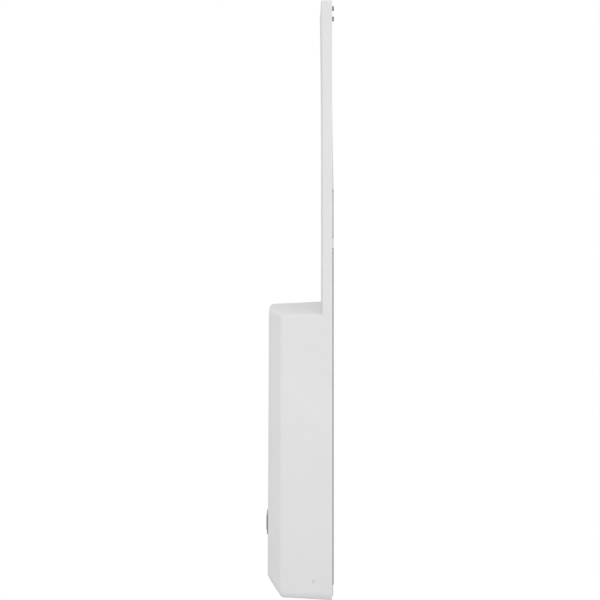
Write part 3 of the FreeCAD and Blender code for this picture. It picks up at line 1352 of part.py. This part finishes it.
BAY_NODES = {
    "underside_plate": underside_plate,
    "connector_bay": connector_bay,
    "network_jack": network_jack,
    "usb_jack": usb_jack,
    "power_jack": power_jack,
    "terminal_block": terminal_block,
    "connector_board": connector_board,
    "reset_button": reset_button,
    "reset_switch": reset_switch,
    "switch_frame": switch_frame,
    "power_rocker": power_rocker,
    "cable_grommet": cable_grommet,
    "underside_screws": underside_screws,
    "hinge_bracket": hinge_bracket,
    "hinge_pin": hinge_pin,
    "door_panel": door_panel,
    "lock_body": lock_body,
    "lock_nut": lock_nut,
    "lock_plug": lock_plug,
    "lock_cam": lock_cam,
}

for name, make in NODES.items():
    save(name, make())
for name, make in BAY_NODES.items():
    save(name, in_bay(make()))
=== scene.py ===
"""The security gate panel's looks: materials, parts too fine for the frame, floor, light and camera."""

import json
import math

import bmesh
import bpy
from mathutils import Matrix, Vector


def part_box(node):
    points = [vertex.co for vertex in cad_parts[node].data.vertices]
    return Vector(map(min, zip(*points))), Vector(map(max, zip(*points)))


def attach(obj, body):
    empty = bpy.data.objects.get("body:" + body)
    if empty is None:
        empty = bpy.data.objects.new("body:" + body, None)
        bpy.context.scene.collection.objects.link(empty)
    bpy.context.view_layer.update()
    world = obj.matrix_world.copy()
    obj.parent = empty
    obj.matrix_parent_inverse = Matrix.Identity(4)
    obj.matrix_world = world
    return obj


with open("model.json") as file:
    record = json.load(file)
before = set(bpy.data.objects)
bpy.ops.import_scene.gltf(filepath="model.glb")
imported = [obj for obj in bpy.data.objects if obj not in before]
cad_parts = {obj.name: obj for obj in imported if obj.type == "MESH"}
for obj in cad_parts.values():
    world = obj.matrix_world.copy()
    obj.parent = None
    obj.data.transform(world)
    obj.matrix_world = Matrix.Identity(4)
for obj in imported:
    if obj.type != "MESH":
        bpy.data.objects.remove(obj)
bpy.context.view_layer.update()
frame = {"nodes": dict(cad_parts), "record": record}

MM = 0.001
HOUSING_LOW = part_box("lower_housing")[0]

# The underside and its connector bay slope: their own y runs along the underside from the
# rear rim, and their own z is the depth into the housing.
UNDER_TILT = math.radians(3.69)
RIM_Y = -0.0032
BAY = Matrix.Translation((0, RIM_Y, HOUSING_LOW.z)) @ Matrix.Rotation(-UNDER_TILT, 4, "X")


# ---- material building blocks -------------------------------------------------------------
class Look:
    """A procedural material on one Principled shader, which shades sharp edges as rounded by edge_mm.

    Lengths in its patterns are in millimetres.
    """

    def __init__(self, name, metallic=0.0, roughness=0.5, edge_mm=0.15, **sockets):
        self.material = bpy.data.materials.new(name)
        self.material.use_nodes = True
        self.tree = self.material.node_tree
        self.shader = self.tree.nodes["Principled BSDF"]
        self.shader.inputs["Metallic"].default_value = metallic
        self.shader.inputs["Roughness"].default_value = roughness
        for socket, value in sockets.items():
            self.shader.inputs[socket.replace("_", " ")].default_value = value
        rounded = self.add("ShaderNodeBevel", samples=4)
        rounded.inputs["Radius"].default_value = edge_mm * MM
        self.normal = rounded.outputs["Normal"]

    def add(self, kind, **settings):
        node = self.tree.nodes.new(kind)
        for key, value in settings.items():
            setattr(node, key, value)
        return node

    def join(self, source, target):
        self.tree.links.new(source, target)

    def place(self, size=(1.0, 1.0, 1.0), turn=(0.0, 0.0, 0.0)):
        """Object coordinates, divided by a pattern's size in millimetres along each axis."""
        coords = self.add("ShaderNodeTexCoord")
        mapping = self.add("ShaderNodeMapping")
        mapping.inputs["Scale"].default_value = [1 / (MM * s) for s in size]
        mapping.inputs["Rotation"].default_value = turn
        self.join(coords.outputs["Object"], mapping.inputs["Vector"])
        return mapping.outputs["Vector"]

    def noise(self, size, detail=3.0, roughness=0.5, distortion=0.0, stretch=(1.0, 1.0, 1.0)):
        node = self.add("ShaderNodeTexNoise")
        node.inputs["Scale"].default_value = 1.0
        node.inputs["Detail"].default_value = detail
        node.inputs["Roughness"].default_value = roughness
        node.inputs["Distortion"].default_value = distortion
        self.join(self.place([size * s for s in stretch]), node.inputs["Vector"])
        return node.outputs["Fac"]

    def cells(self, size, feature="F1", output="Color"):
        node = self.add("ShaderNodeTexVoronoi", feature=feature)
        node.inputs["Scale"].default_value = 1.0
        self.join(self.place((size, size, size)), node.inputs["Vector"])
        return node.outputs[output]

    def spread(self, value, low, high, start=0.3, end=0.7):
        """Maps a pattern's usual values, start to end, onto low to high."""
        node = self.add("ShaderNodeMapRange")
        for socket, number in (("From Min", start), ("From Max", end), ("To Min", low), ("To Max", high)):
            node.inputs[socket].default_value = number
        self.join(value, node.inputs["Value"])
        return node.outputs["Result"]

    def blend(self, factor, first, second):
        """A mix of two colours or colour outputs by a factor."""
        node = self.add("ShaderNodeMix", data_type="RGBA")
        self.join(factor, node.inputs["Factor"])
        for socket, colour in ((node.inputs[6], first), (node.inputs[7], second)):
            if isinstance(colour, bpy.types.NodeSocket):
                self.join(colour, socket)
            else:
                socket.default_value = (*colour, 1.0)
        return node.outputs[2]

    def sum_of(self, first, second, operation="ADD"):
        node = self.add("ShaderNodeMath", operation=operation, use_clamp=False)
        for socket, value in ((node.inputs[0], first), (node.inputs[1], second)):
            if isinstance(value, bpy.types.NodeSocket):
                self.join(value, socket)
            else:
                socket.default_value = value
        return node.outputs["Value"]

    def colour(self, output):
        self.join(output, self.shader.inputs["Base Color"])

    def rough(self, output):
        self.join(output, self.shader.inputs["Roughness"])

    def bump(self, height, depth_mm, strength=1.0):
        node = self.add("ShaderNodeBump")
        node.inputs["Strength"].default_value = strength
        node.inputs["Distance"].default_value = depth_mm * MM
        self.join(height, node.inputs["Height"])
        self.join(self.normal, node.inputs["Normal"])
        self.normal = node.outputs["Normal"]
        self.join(self.normal, self.shader.inputs["Normal"])

    def edges(self, radius_mm, low=0.02, high=0.2):
        """1 along sharp edges and 0 elsewhere, broken up by a fine noise."""
        rounded = self.add("ShaderNodeBevel", samples=4)
        rounded.inputs["Radius"].default_value = radius_mm * MM
        surface = self.add("ShaderNodeNewGeometry")
        agree = self.add("ShaderNodeVectorMath", operation="DOT_PRODUCT")
        self.join(rounded.outputs["Normal"], agree.inputs[0])
        self.join(surface.outputs["Normal"], agree.inputs[1])
        turned = self.sum_of(1.0, agree.outputs["Value"], "SUBTRACT")
        mask = self.spread(turned, 0.0, 1.0, low, high)
        broken = self.spread(self.noise(2.2, 4.0, 0.6), 0.0, 1.0, 0.38, 0.58)
        return self.sum_of(mask, broken, "MULTIPLY")

    def crease_shade(self, reach_mm):
        """1 in tight inside corners: an occlusion mask for painted shade there."""
        node = self.add("ShaderNodeAmbientOcclusion", samples=4, only_local=True)
        node.inputs["Distance"].default_value = reach_mm * MM
        return self.spread(node.outputs["AO"], 1.0, 0.0, 0.35, 0.85)


def tone(level, warm=0.0):
    """A grey, a little warmer or cooler."""
    return (level * (1 + warm), level, level * (1 - warm))


# ---- materials ----------------------------------------------------------------------------
def moulded_plastic(name, level, warm=0.004, grain=0.45, roughness=0.46):
    """Satin moulded plastic: spark-eroded grain, faint mottling, a slow waviness and painted shade in its
    inside corners.
    """
    look = Look(name, roughness=roughness, edge_mm=0.35, Specular_IOR_Level=0.42)
    mottle = look.spread(look.noise(90.0, 3.0), 0.0, 1.0)
    base = look.blend(mottle, tone(level * 0.985, warm), tone(level * 1.012, warm * 0.5))
    speck = look.spread(look.noise(grain * 1.6, 2.0), 0.0, 0.22, 0.42, 0.62)
    base = look.blend(speck, base, tone(level * 0.94, warm))
    # Inside corners darken towards a warm grey: painted shade from an occlusion mask.
    look.colour(look.blend(look.sum_of(look.crease_shade(3.0), 0.35, "MULTIPLY"), base, tone(level * 0.72, 0.03)))
    look.rough(look.spread(look.noise(35.0, 4.0, 0.6), roughness - 0.05, roughness + 0.06))
    look.bump(look.noise(28.0, 2.0), 0.03, 0.5)
    look.bump(look.noise(grain, 3.0, 0.65), 0.035, 0.7)
    return look.material


def powder_coat(name, level):
    """Grey powder coat with its orange peel, rubbed thin along the edges."""
    look = Look(name, roughness=0.5, edge_mm=0.4, Specular_IOR_Level=0.45)
    base = look.blend(look.spread(look.noise(40.0, 4.0), 0.0, 1.0), tone(level * 0.95), tone(level * 1.05))
    fleck = look.spread(look.noise(0.7, 2.0), 0.0, 0.35, 0.5, 0.68)
    base = look.blend(fleck, base, tone(level * 0.8))
    look.colour(look.blend(look.edges(0.7), base, tone(0.62, 0.01)))
    look.rough(look.spread(look.noise(12.0, 4.0), 0.42, 0.6))
    look.bump(look.noise(1.4, 2.0, 0.4), 0.06, 0.8)
    return look.material


def zinc_sheet(name, level=0.62):
    """Zinc-plated sheet steel: rolled streaks, soft spangle and a few paler rubbed edges."""
    look = Look(name, metallic=1.0, roughness=0.36)
    streak = look.noise(5.0, 6.0, 0.65, stretch=(0.12, 0.12, 24.0))
    base = look.blend(look.spread(streak, 0.0, 1.0), tone(level * 0.88, -0.01), tone(level * 1.1))
    spangle = look.spread(look.cells(17.0, output="Distance"), 0.0, 0.3, 0.1, 0.8)
    base = look.blend(spangle, base, tone(level * 0.82, -0.02))
    look.colour(look.blend(look.edges(0.5), base, tone(0.8)))
    look.rough(look.spread(streak, 0.28, 0.5))
    look.bump(streak, 0.012, 0.6)
    look.bump(look.noise(60.0, 2.0), 0.2, 0.35)
    return look.material


def turned_metal(name, colour, roughness=0.3, wear=0.9):
    """Plated or turned metal for small parts: fine tool marks, a slight cloud and bright corners."""
    look = Look(name, metallic=1.0, roughness=roughness)
    cloud = look.spread(look.noise(3.0, 4.0, 0.6), 0.0, 1.0)
    dark = tuple(c * 0.8 for c in colour)
    base = look.blend(cloud, dark, colour)
    look.colour(look.blend(look.edges(0.25), base, tuple(min(1.0, c * 1.15) for c in colour)))
    look.rough(look.spread(look.noise(1.1, 5.0, 0.7), roughness - 0.08, roughness + 0.12 * wear))
    look.bump(look.noise(0.4, 3.0, 0.6, stretch=(1.0, 1.0, 0.25)), 0.008, 0.6)
    return look.material


def soft_rubber(name, level=0.03, grain=0.5):
    """Matt black rubber or cable jacket with a little dust."""
    look = Look(name, roughness=0.8, Specular_IOR_Level=0.3)
    dusty = look.spread(look.noise(9.0, 5.0, 0.65), 0.0, 0.5, 0.45, 0.75)
    look.colour(look.blend(dusty, tone(level), tone(level * 2.6, 0.03)))
    look.rough(look.spread(look.noise(4.0, 3.0), 0.7, 0.9))
    look.bump(look.noise(grain, 4.0, 0.7), 0.05, 0.8)
    return look.material


def dark_plastic(name, colour, roughness=0.4, cloud=1.35):
    """Moulded plastic with a fine grain; cloud is how much paler its paler patches are."""
    look = Look(name, roughness=roughness, Specular_IOR_Level=0.45)
    lighter = tuple(c * cloud + 0.004 for c in colour)
    look.colour(look.blend(look.spread(look.noise(6.0, 4.0), 0.0, 1.0), colour, lighter))
    look.rough(look.spread(look.noise(2.0, 4.0), roughness - 0.07, roughness + 0.1))
    look.bump(look.noise(0.35, 3.0, 0.6), 0.015, 0.7)
    return look.material


def circuit_board(name):
    """Green solder mask over copper tracks, with tinned pads."""
    look = Look(name, roughness=0.3, Specular_IOR_Level=0.5)
    tracks = look.add("ShaderNodeTexVoronoi", feature="DISTANCE_TO_EDGE")
    tracks.inputs["Scale"].default_value = 1.0
    look.join(look.place((4.2, 4.2, 4.2)), tracks.inputs["Vector"])
    line = look.spread(tracks.outputs["Distance"], 1.0, 0.0, 0.05, 0.11)
    base = look.blend(line, (0.012, 0.105, 0.045), (0.02, 0.19, 0.075))
    pads = look.add("ShaderNodeTexVoronoi", feature="F1")
    pads.inputs["Scale"].default_value = 1.0
    look.join(look.place((3.1, 3.1, 3.1)), pads.inputs["Vector"])
    dot = look.spread(pads.outputs["Distance"], 1.0, 0.0, 0.14, 0.18)
    look.colour(look.blend(dot, base, (0.58, 0.56, 0.5)))
    look.bump(line, 0.03, 0.6)
    look.rough(look.spread(look.noise(8.0, 3.0), 0.24, 0.4))
    return look.material


def smoked_lens(name):
    """Smoked plastic that lets some of the fluted guide behind it show."""
    look = Look(name, roughness=0.16, Specular_IOR_Level=0.5, IOR=1.49, Transmission_Weight=0.35)
    cloud = look.spread(look.noise(24.0, 3.0), 0.0, 1.0)
    look.colour(look.blend(cloud, tone(0.26, -0.01), tone(0.31, -0.005)))
    look.rough(look.spread(look.noise(7.0, 5.0, 0.7), 0.12, 0.24))
    look.bump(look.noise(14.0, 2.0), 0.02, 0.4)
    return look.material


def frosted_guide(name):
    """Frosted clear plastic."""
    look = Look(name, roughness=0.3, Transmission_Weight=0.5, IOR=1.49)
    look.colour(look.blend(look.spread(look.noise(5.0, 3.0), 0.0, 1.0), tone(0.78, -0.01), tone(0.9)))
    look.rough(look.spread(look.noise(1.0, 3.0), 0.25, 0.45))
    look.bump(look.noise(0.6, 2.0), 0.02, 0.6)
    return look.material


def chrome(name):
    """Bright plate with fine scratches in its gloss."""
    look = Look(name, metallic=1.0, roughness=0.12)
    look.colour(look.blend(look.spread(look.noise(4.0, 4.0), 0.0, 1.0), tone(0.62), tone(0.74, 0.005)))
    look.rough(look.spread(look.noise(2.0, 6.0, 0.75), 0.07, 0.24))
    look.bump(look.noise(0.8, 3.0), 0.004, 0.6)
    return look.material


def painted_screw(name):
    """White stoved paint over a small screw, a little mottled, with painted shade in its recesses."""
    look = Look(name, roughness=0.35, Specular_IOR_Level=0.5)
    base = look.blend(look.spread(look.noise(2.0, 3.0), 0.0, 1.0), tone(0.76), tone(0.8))
    # The recesses darken to mid grey: painted shade from an occlusion mask.
    look.colour(look.blend(look.crease_shade(0.8), base, tone(0.5, 0.02)))
    look.rough(look.spread(look.noise(0.8, 3.0), 0.28, 0.42))
    look.bump(look.noise(0.5, 2.0), 0.01, 0.6)
    return look.material


SHELL_LEVEL = 0.80
looks = {
    "shell_plastic": moulded_plastic("shell_white", SHELL_LEVEL),
    "door_plastic": moulded_plastic("door_white", SHELL_LEVEL * 0.99, grain=0.4),
    "spacer_plastic": moulded_plastic("spacer_white", 0.84, roughness=0.5, grain=0.8),
    "bay_plastic": dark_plastic("bay_grey", (0.055, 0.058, 0.062), 0.5),
    "mounting_steel": powder_coat("plate_grey_coat", 0.545),
    "white_screw": painted_screw("white_painted_screw"),
    "chassis_steel": zinc_sheet("zinc_sheet"),
    "screw_steel": turned_metal("zinc_screw", (0.66, 0.67, 0.68)),
    "dark_screw": turned_metal("nickel_screw", (0.27, 0.275, 0.28), 0.34),
    "brass": turned_metal("turned_brass", (0.72, 0.53, 0.24), 0.28),
    "aluminium": zinc_sheet("mill_aluminium", 0.74),
    "case_metal": turned_metal("blasted_case", (0.46, 0.47, 0.49), 0.5),
    "gasket_rubber": soft_rubber("foam_seal", 0.025, 0.9),
    "grommet_rubber": soft_rubber("bush_rubber", 0.03),
    "cable_jacket": soft_rubber("cable_jacket", 0.022, 0.3),
    "circuit_board": circuit_board("circuit_board"),
    "component_black": dark_plastic("package_black", (0.012, 0.012, 0.014), 0.45),
    "can_metal": turned_metal("tinned_can", (0.7, 0.7, 0.69), 0.26),
    "bezel_grey": dark_plastic("bezel_grey", (0.23, 0.234, 0.243), 0.32, 1.06),
    "lens_smoke": smoked_lens("smoked_lens"),
    "guide_clear": frosted_guide("frosted_guide"),
    "led_white": dark_plastic("diode_cream", (0.72, 0.68, 0.42), 0.3),
    "socket_black": dark_plastic("socket_black", (0.011, 0.011, 0.012), 0.36),
    "socket_metal": chrome("socket_nickel"),
    "terminal_green": dark_plastic("terminal_green", (0.02, 0.2, 0.06), 0.42),
    "lock_metal": chrome("lock_chrome"),
}
node_slots = {part["node"]: part["material_slot"] for part in frame["record"]["subparts"]}
for node, piece in frame["nodes"].items():
    piece.data.materials.clear()
    piece.data.materials.append(looks[node_slots[node]])
UPPER_PLATE_PAINTED_LIGHT_LEVEL = 0.68  # the short plate's coat is painted paler than the long one's: painted light for the brighter top of the rear strip
# The upper plate gets a paler copy of the same grey coat, which stands in for more light falling there.
upper_plate = frame["nodes"]["mounting_plate_upper"]
upper_plate.data.materials[0] = powder_coat("upper_plate_painted_light_coat", UPPER_PLATE_PAINTED_LIGHT_LEVEL)


# ---- small parts too fine for the frame ---------------------------------------------------
# Outlines are drawn in a form's own x and y and drawn out along its z, in millimetres.
ALONG_X = Matrix(((0, 0, 1, 0), (1, 0, 0, 0), (0, 1, 0, 0), (0, 0, 0, 1)))  # drawn in y and z
ALONG_Y = Matrix(((1, 0, 0, 0), (0, 0, 1, 0), (0, 1, 0, 0), (0, 0, 0, 1)))  # drawn in x and z
ALONG_Z = Matrix.Identity(4)
ROW = Matrix.Translation((0, 0, HOUSING_LOW.z))  # heights from the foot of the rear rim


class Form:
    """Closed prisms gathered into one mesh."""

    def __init__(self, frame_of_form, direction=ALONG_Z):
        self.shape = bmesh.new()
        self.frame_of_form = frame_of_form
        self.direction = direction

    def prism(self, outline, low, high):
        """Draws an outline out from low to high."""
        rings = []
        for level in (low, high):
            points = [self.direction @ Vector((x, y, level)) for x, y in outline]
            rings.append([self.shape.verts.new(self.frame_of_form @ (MM * point)) for point in points])
        near, far = rings
        self.shape.faces.new(list(reversed(near)))
        self.shape.faces.new(far)
        for here in range(len(outline)):
            there = (here + 1) % len(outline)
            self.shape.faces.new((near[here], near[there], far[there], far[here]))

    def piece(self, name, slot, body, edge_mm=0.05, look=None):
        """Makes the mesh a piece on a body, with its edges broken by edge_mm."""
        bmesh.ops.recalc_face_normals(self.shape, faces=self.shape.faces)
        mesh = bpy.data.meshes.new(name)
        self.shape.to_mesh(mesh)
        self.shape.free()
        mesh.materials.append(look or looks[slot])
        piece = bpy.data.objects.new(name, mesh)
        bpy.context.scene.collection.objects.link(piece)
        edge = piece.modifiers.new("edge", "BEVEL")
        edge.width = edge_mm * MM
        edge.segments = 2
        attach(piece, body)


def oblong(middle, size, corner):
    """A rectangle with cut corners."""
    (x, y), (half_x, half_y) = middle, (size[0] / 2, size[1] / 2)
    inner_x, inner_y = half_x - corner, half_y - corner
    spots = [(inner_x, -half_y), (half_x, -inner_y), (half_x, inner_y), (inner_x, half_y)]
    spots += [(-inner_x, half_y), (-half_x, inner_y), (-half_x, -inner_y), (-inner_x, -half_y)]
    return [(x + dx, y + dy) for dx, dy in spots]


def arc(middle, radius, start, end, steps):
    angles = [start + (end - start) * k / steps for k in range(steps + 1)]
    return [(middle[0] + radius * math.cos(a), middle[1] + radius * math.sin(a)) for a in angles]


def ribbon(path, thick):
    """The outline of a strip that follows a path."""
    sides = ([], [])
    for k, (x, y) in enumerate(path):
        before, after = path[max(k - 1, 0)], path[min(k + 1, len(path) - 1)]
        run = Vector((after[0] - before[0], after[1] - before[1])).normalized() * thick / 2
        sides[0].append((x - run.y, y + run.x))
        sides[1].append((x + run.y, y - run.x))
    return sides[0] + sides[1][::-1]


# Places in the bay's own frame, in millimetres.
PORT_Y = -52.0  # the row of sockets in the bay's end wall
BAY_DEPTH = 46.0  # from the underside to that wall
WAYS = 8  # of the network jack and of the terminal block
JACK_X = -1.0
CONTACT_PITCH = 1.02
CONTACT_WIDTH = 0.46
USB_WAYS_X = (18.5, 21.0, 23.0, 25.5)
TERMINAL_X = -11.0
TERMINAL_PITCH = 4.5
TERMINAL_SCREW_Y = -25.5
ROCKER_X = 52.0
ROCKER_RIDGE = Vector((PORT_Y, BAY_DEPTH + 3.4))  # the ridge between the rocker's two faces, in y and z


def network_jack_parts():
    """Eight sprung contacts in the jack, and the two indicator windows in its lip."""
    spring = ribbon([(-46.6, 47.3), (-47.6, 47.1), (-50.6, 54.2), (-50.4, 56.7)], 0.32)
    contacts = Form(BAY, ALONG_X)
    for way in range(WAYS):
        x = JACK_X + CONTACT_PITCH * (way - (WAYS - 1) / 2)
        contacts.prism(spring, x - CONTACT_WIDTH / 2, x + CONTACT_WIDTH / 2)
    gold = turned_metal("gold_contact", (0.86, 0.64, 0.24), 0.2)
    contacts.piece("jack_contacts", "brass", "panel", 0.03, gold)
    windows = Form(BAY)
    for x in (JACK_X - 5.0, JACK_X + 5.0):
        windows.prism(oblong((x, PORT_Y + 6.3), (3.0, 1.0), 0.2), BAY_DEPTH - 0.65, BAY_DEPTH)
    windows.piece("jack_windows", "guide_clear", "panel", 0.06)


def usb_contacts():
    """Four flat contacts on the socket's tongue."""
    pads = Form(BAY, ALONG_Y)
    for x in USB_WAYS_X:
        pads.prism(oblong((x, 51.2), (1.0, 7.2), 0.25), PORT_Y + 0.08, PORT_Y + 0.3)
    pads.piece("usb_contacts", "brass", "panel", 0.03)


def terminal_screws():
    """A slotted clamp screw in each way of the terminal block."""
    radius, half_slot, steps = 1.2, 0.22, 24
    foot, slot_floor, face = BAY_DEPTH + 0.1, BAY_DEPTH - 1.0, BAY_DEPTH - 1.6
    heads = Form(BAY)
    for way in range(WAYS):
        middle = (TERMINAL_X + TERMINAL_PITCH * way, TERMINAL_SCREW_Y)
        heads.prism(arc(middle, radius, 0, 2 * math.pi * (steps - 1) / steps, steps - 1), slot_floor, foot)
        edge, turn = math.asin(half_slot / radius), 0.4 * way
        for half in (0, math.pi):
            rim = arc(middle, radius, turn + half + edge, turn + half + math.pi - edge, steps // 2)
            heads.prism(rim, face, slot_floor + 0.05)
    heads.piece("terminal_screws", "screw_steel", "panel")


def rocker_ribs():
    """Finger ribs across the raised half of the power switch's rocker."""
    along, out = Vector((-8.0, -2.4)).normalized(), Vector((2.4, -8.0)).normalized()
    half_length = 3.4
    ribs = Form(BAY, ALONG_X)
    for reach in (3.6, 4.9, 6.2):
        root = ROCKER_RIDGE + reach * along
        spots = [root - 0.45 * along - 0.2 * out, root - 0.2 * along + 0.3 * out]
        spots += [root + 0.2 * along + 0.3 * out, root + 0.45 * along - 0.2 * out]
        ribs.prism([tuple(spot) for spot in spots], ROCKER_X - half_length, ROCKER_X + half_length)
    ribs.piece("rocker_ribs", "socket_black", "power_key", 0.08)


# The slanted face's lower and upper edges, from the foot of the rear rim, and the middle of its slots.
TOE_FOOT = Vector((0, -86.5, 5.39))
TOE_TOP = Vector((0, -109.7, 38.6))
SLOTS_AT = 0.6
SHELL_WALL = 2.8


def sounder_screen():
    """A woven steel screen behind the slots of the slanted face."""
    lean = math.atan2(TOE_TOP.z - TOE_FOOT.z, TOE_FOOT.y - TOE_TOP.y)
    middle = Matrix.Translation(MM * TOE_FOOT.lerp(TOE_TOP, SLOTS_AT))
    toe = ROW @ middle @ Matrix.Rotation(math.pi - lean, 4, "X")
    half_x, half_y, pitch, wire, chamfer = 28.0, 10.0, 1.15, 0.4, 0.05
    upright = (-SHELL_WALL - 0.35, -SHELL_WALL - 0.08)
    level = (-SHELL_WALL - 0.5, -SHELL_WALL - 0.23)
    screen = Form(toe)
    for k in range(int(2 * half_x / pitch) + 1):
        screen.prism(oblong((k * pitch - half_x, 0), (wire, 2 * half_y), chamfer), *upright)
    for k in range(int(2 * half_y / pitch) + 1):
        screen.prism(oblong((0, k * pitch - half_y), (2 * half_x, wire), chamfer), *level)
    screen.piece("sounder_screen", "dark_screw", "panel", 0.04)


def lens_flutes():
    """Upright flutes on the light guide, which spread the light behind the smoked lens."""
    low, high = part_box("light_guide")
    middle, radius = (low.z + high.z) / 2 / MM, (high.z - low.z) / 2 / MM
    straight = high.x / MM - radius
    root = low.y / MM
    pitch, each_side, half_width, relief, margin = 1.6, 18, 0.7, 0.2, 0.8
    flutes = Form(Matrix.Identity(4))
    for k in range(-each_side, each_side + 1):
        x = pitch * k
        over = max(abs(x) - straight, 0.0)
        half = math.sqrt(radius * radius - over * over) - margin
        flute = [(x - half_width, root + relief), (x, root - relief), (x + half_width, root + relief)]
        flutes.prism(flute, middle - half, middle + half)
    flutes.piece("lens_flutes", "guide_clear", "panel", 0.04)


network_jack_parts()
usb_contacts()
terminal_screws()
rocker_ribs()
sounder_screen()
lens_flutes()


# ---- floor, light and camera --------------------------------------------------------------
FLOOR_SOLID = 0.55
FLOOR_RADIUS = 1.0  # metres; it fades out into the white background between these
FLOOR_BELOW = 0.16  # metres below the panel's foot, which clears the open door
FLOOR_TONES = (0.73, 0.75)


def stage_floor():
    """A pale round floor, low enough for the open door, that fades into the white background."""
    mesh = bpy.data.meshes.new("floor")
    shape = bmesh.new()
    bmesh.ops.create_circle(shape, cap_ends=True, segments=96, radius=FLOOR_RADIUS)
    shape.to_mesh(mesh)
    shape.free()
    floor = bpy.data.objects.new("floor", mesh)
    bpy.context.scene.collection.objects.link(floor)
    floor.location = (0, 0, HOUSING_LOW.z - FLOOR_BELOW)
    look = Look("pale_floor", roughness=0.9, Specular_IOR_Level=0.0)
    look.colour(look.blend(look.spread(look.noise(300.0), 0.0, 1.0), *map(tone, FLOOR_TONES)))
    from_middle = look.add("ShaderNodeVectorMath", operation="LENGTH")
    look.join(look.add("ShaderNodeTexCoord").outputs["Object"], from_middle.inputs[0])
    fade = look.spread(from_middle.outputs["Value"], 1.0, 0.0, FLOOR_SOLID, FLOOR_RADIUS)
    look.join(fade, look.shader.inputs["Alpha"])
    mesh.materials.append(look.material)


LIGHT_FROM = Vector((0.60, 0.67, 0.45))  # the soft light's side of the room
LIGHT_LEVEL = 0.885
LIGHT_SWING = 0.20  # how much brighter that side is than the level, and the far side darker


def studio_light():
    """A white room, brighter towards one side, seen as plain white behind the panel."""
    world = bpy.data.worlds.new("studio")
    bpy.context.scene.world = world
    world.use_nodes = True
    tree = world.node_tree
    tree.nodes.clear()
    coords = tree.nodes.new("ShaderNodeTexCoord")
    towards = tree.nodes.new("ShaderNodeVectorMath")
    towards.operation = "DOT_PRODUCT"
    towards.inputs[1].default_value = LIGHT_FROM.normalized()
    strength = tree.nodes.new("ShaderNodeMath")
    strength.operation = "MULTIPLY_ADD"
    strength.inputs[1].default_value = LIGHT_SWING
    strength.inputs[2].default_value = LIGHT_LEVEL
    room = tree.nodes.new("ShaderNodeBackground")
    backdrop = tree.nodes.new("ShaderNodeBackground")
    path = tree.nodes.new("ShaderNodeLightPath")
    chosen = tree.nodes.new("ShaderNodeMixShader")
    out = tree.nodes.new("ShaderNodeOutputWorld")
    link = tree.links.new
    link(coords.outputs["Generated"], towards.inputs[0])
    link(towards.outputs["Value"], strength.inputs[0])
    link(strength.outputs["Value"], room.inputs["Strength"])
    room.inputs["Color"].default_value = (1, 1, 1, 1)
    backdrop.inputs["Color"].default_value = (1, 1, 1, 1)
    link(path.outputs["Is Camera Ray"], chosen.inputs[0])
    link(room.outputs[0], chosen.inputs[1])
    link(backdrop.outputs[0], chosen.inputs[2])
    link(chosen.outputs[0], out.inputs["Surface"])


CAMERA_AT = (4.0, -0.0567, 0.19095)
CAMERA_LENS = 139.84  # millimetres, on the sensor's width
SENSOR_WIDTH = 36.0
CAMERA_REACH = 60.0


def camera():
    """A long lens at the height of the panel's middle, looking square at its right-hand side."""
    lens = bpy.data.cameras.new("camera")
    view = bpy.data.objects.new("camera", lens)
    bpy.context.scene.collection.objects.link(view)
    bpy.context.scene.camera = view
    lens.sensor_width = SENSOR_WIDTH
    lens.lens = CAMERA_LENS
    view.location = CAMERA_AT
    view.rotation_euler = (math.pi / 2, 0, math.pi / 2)
    lens.clip_end = CAMERA_REACH


stage_floor()
studio_light()
camera()
settings = bpy.context.scene.view_settings
settings.view_transform = "Standard"
settings.look = "None"
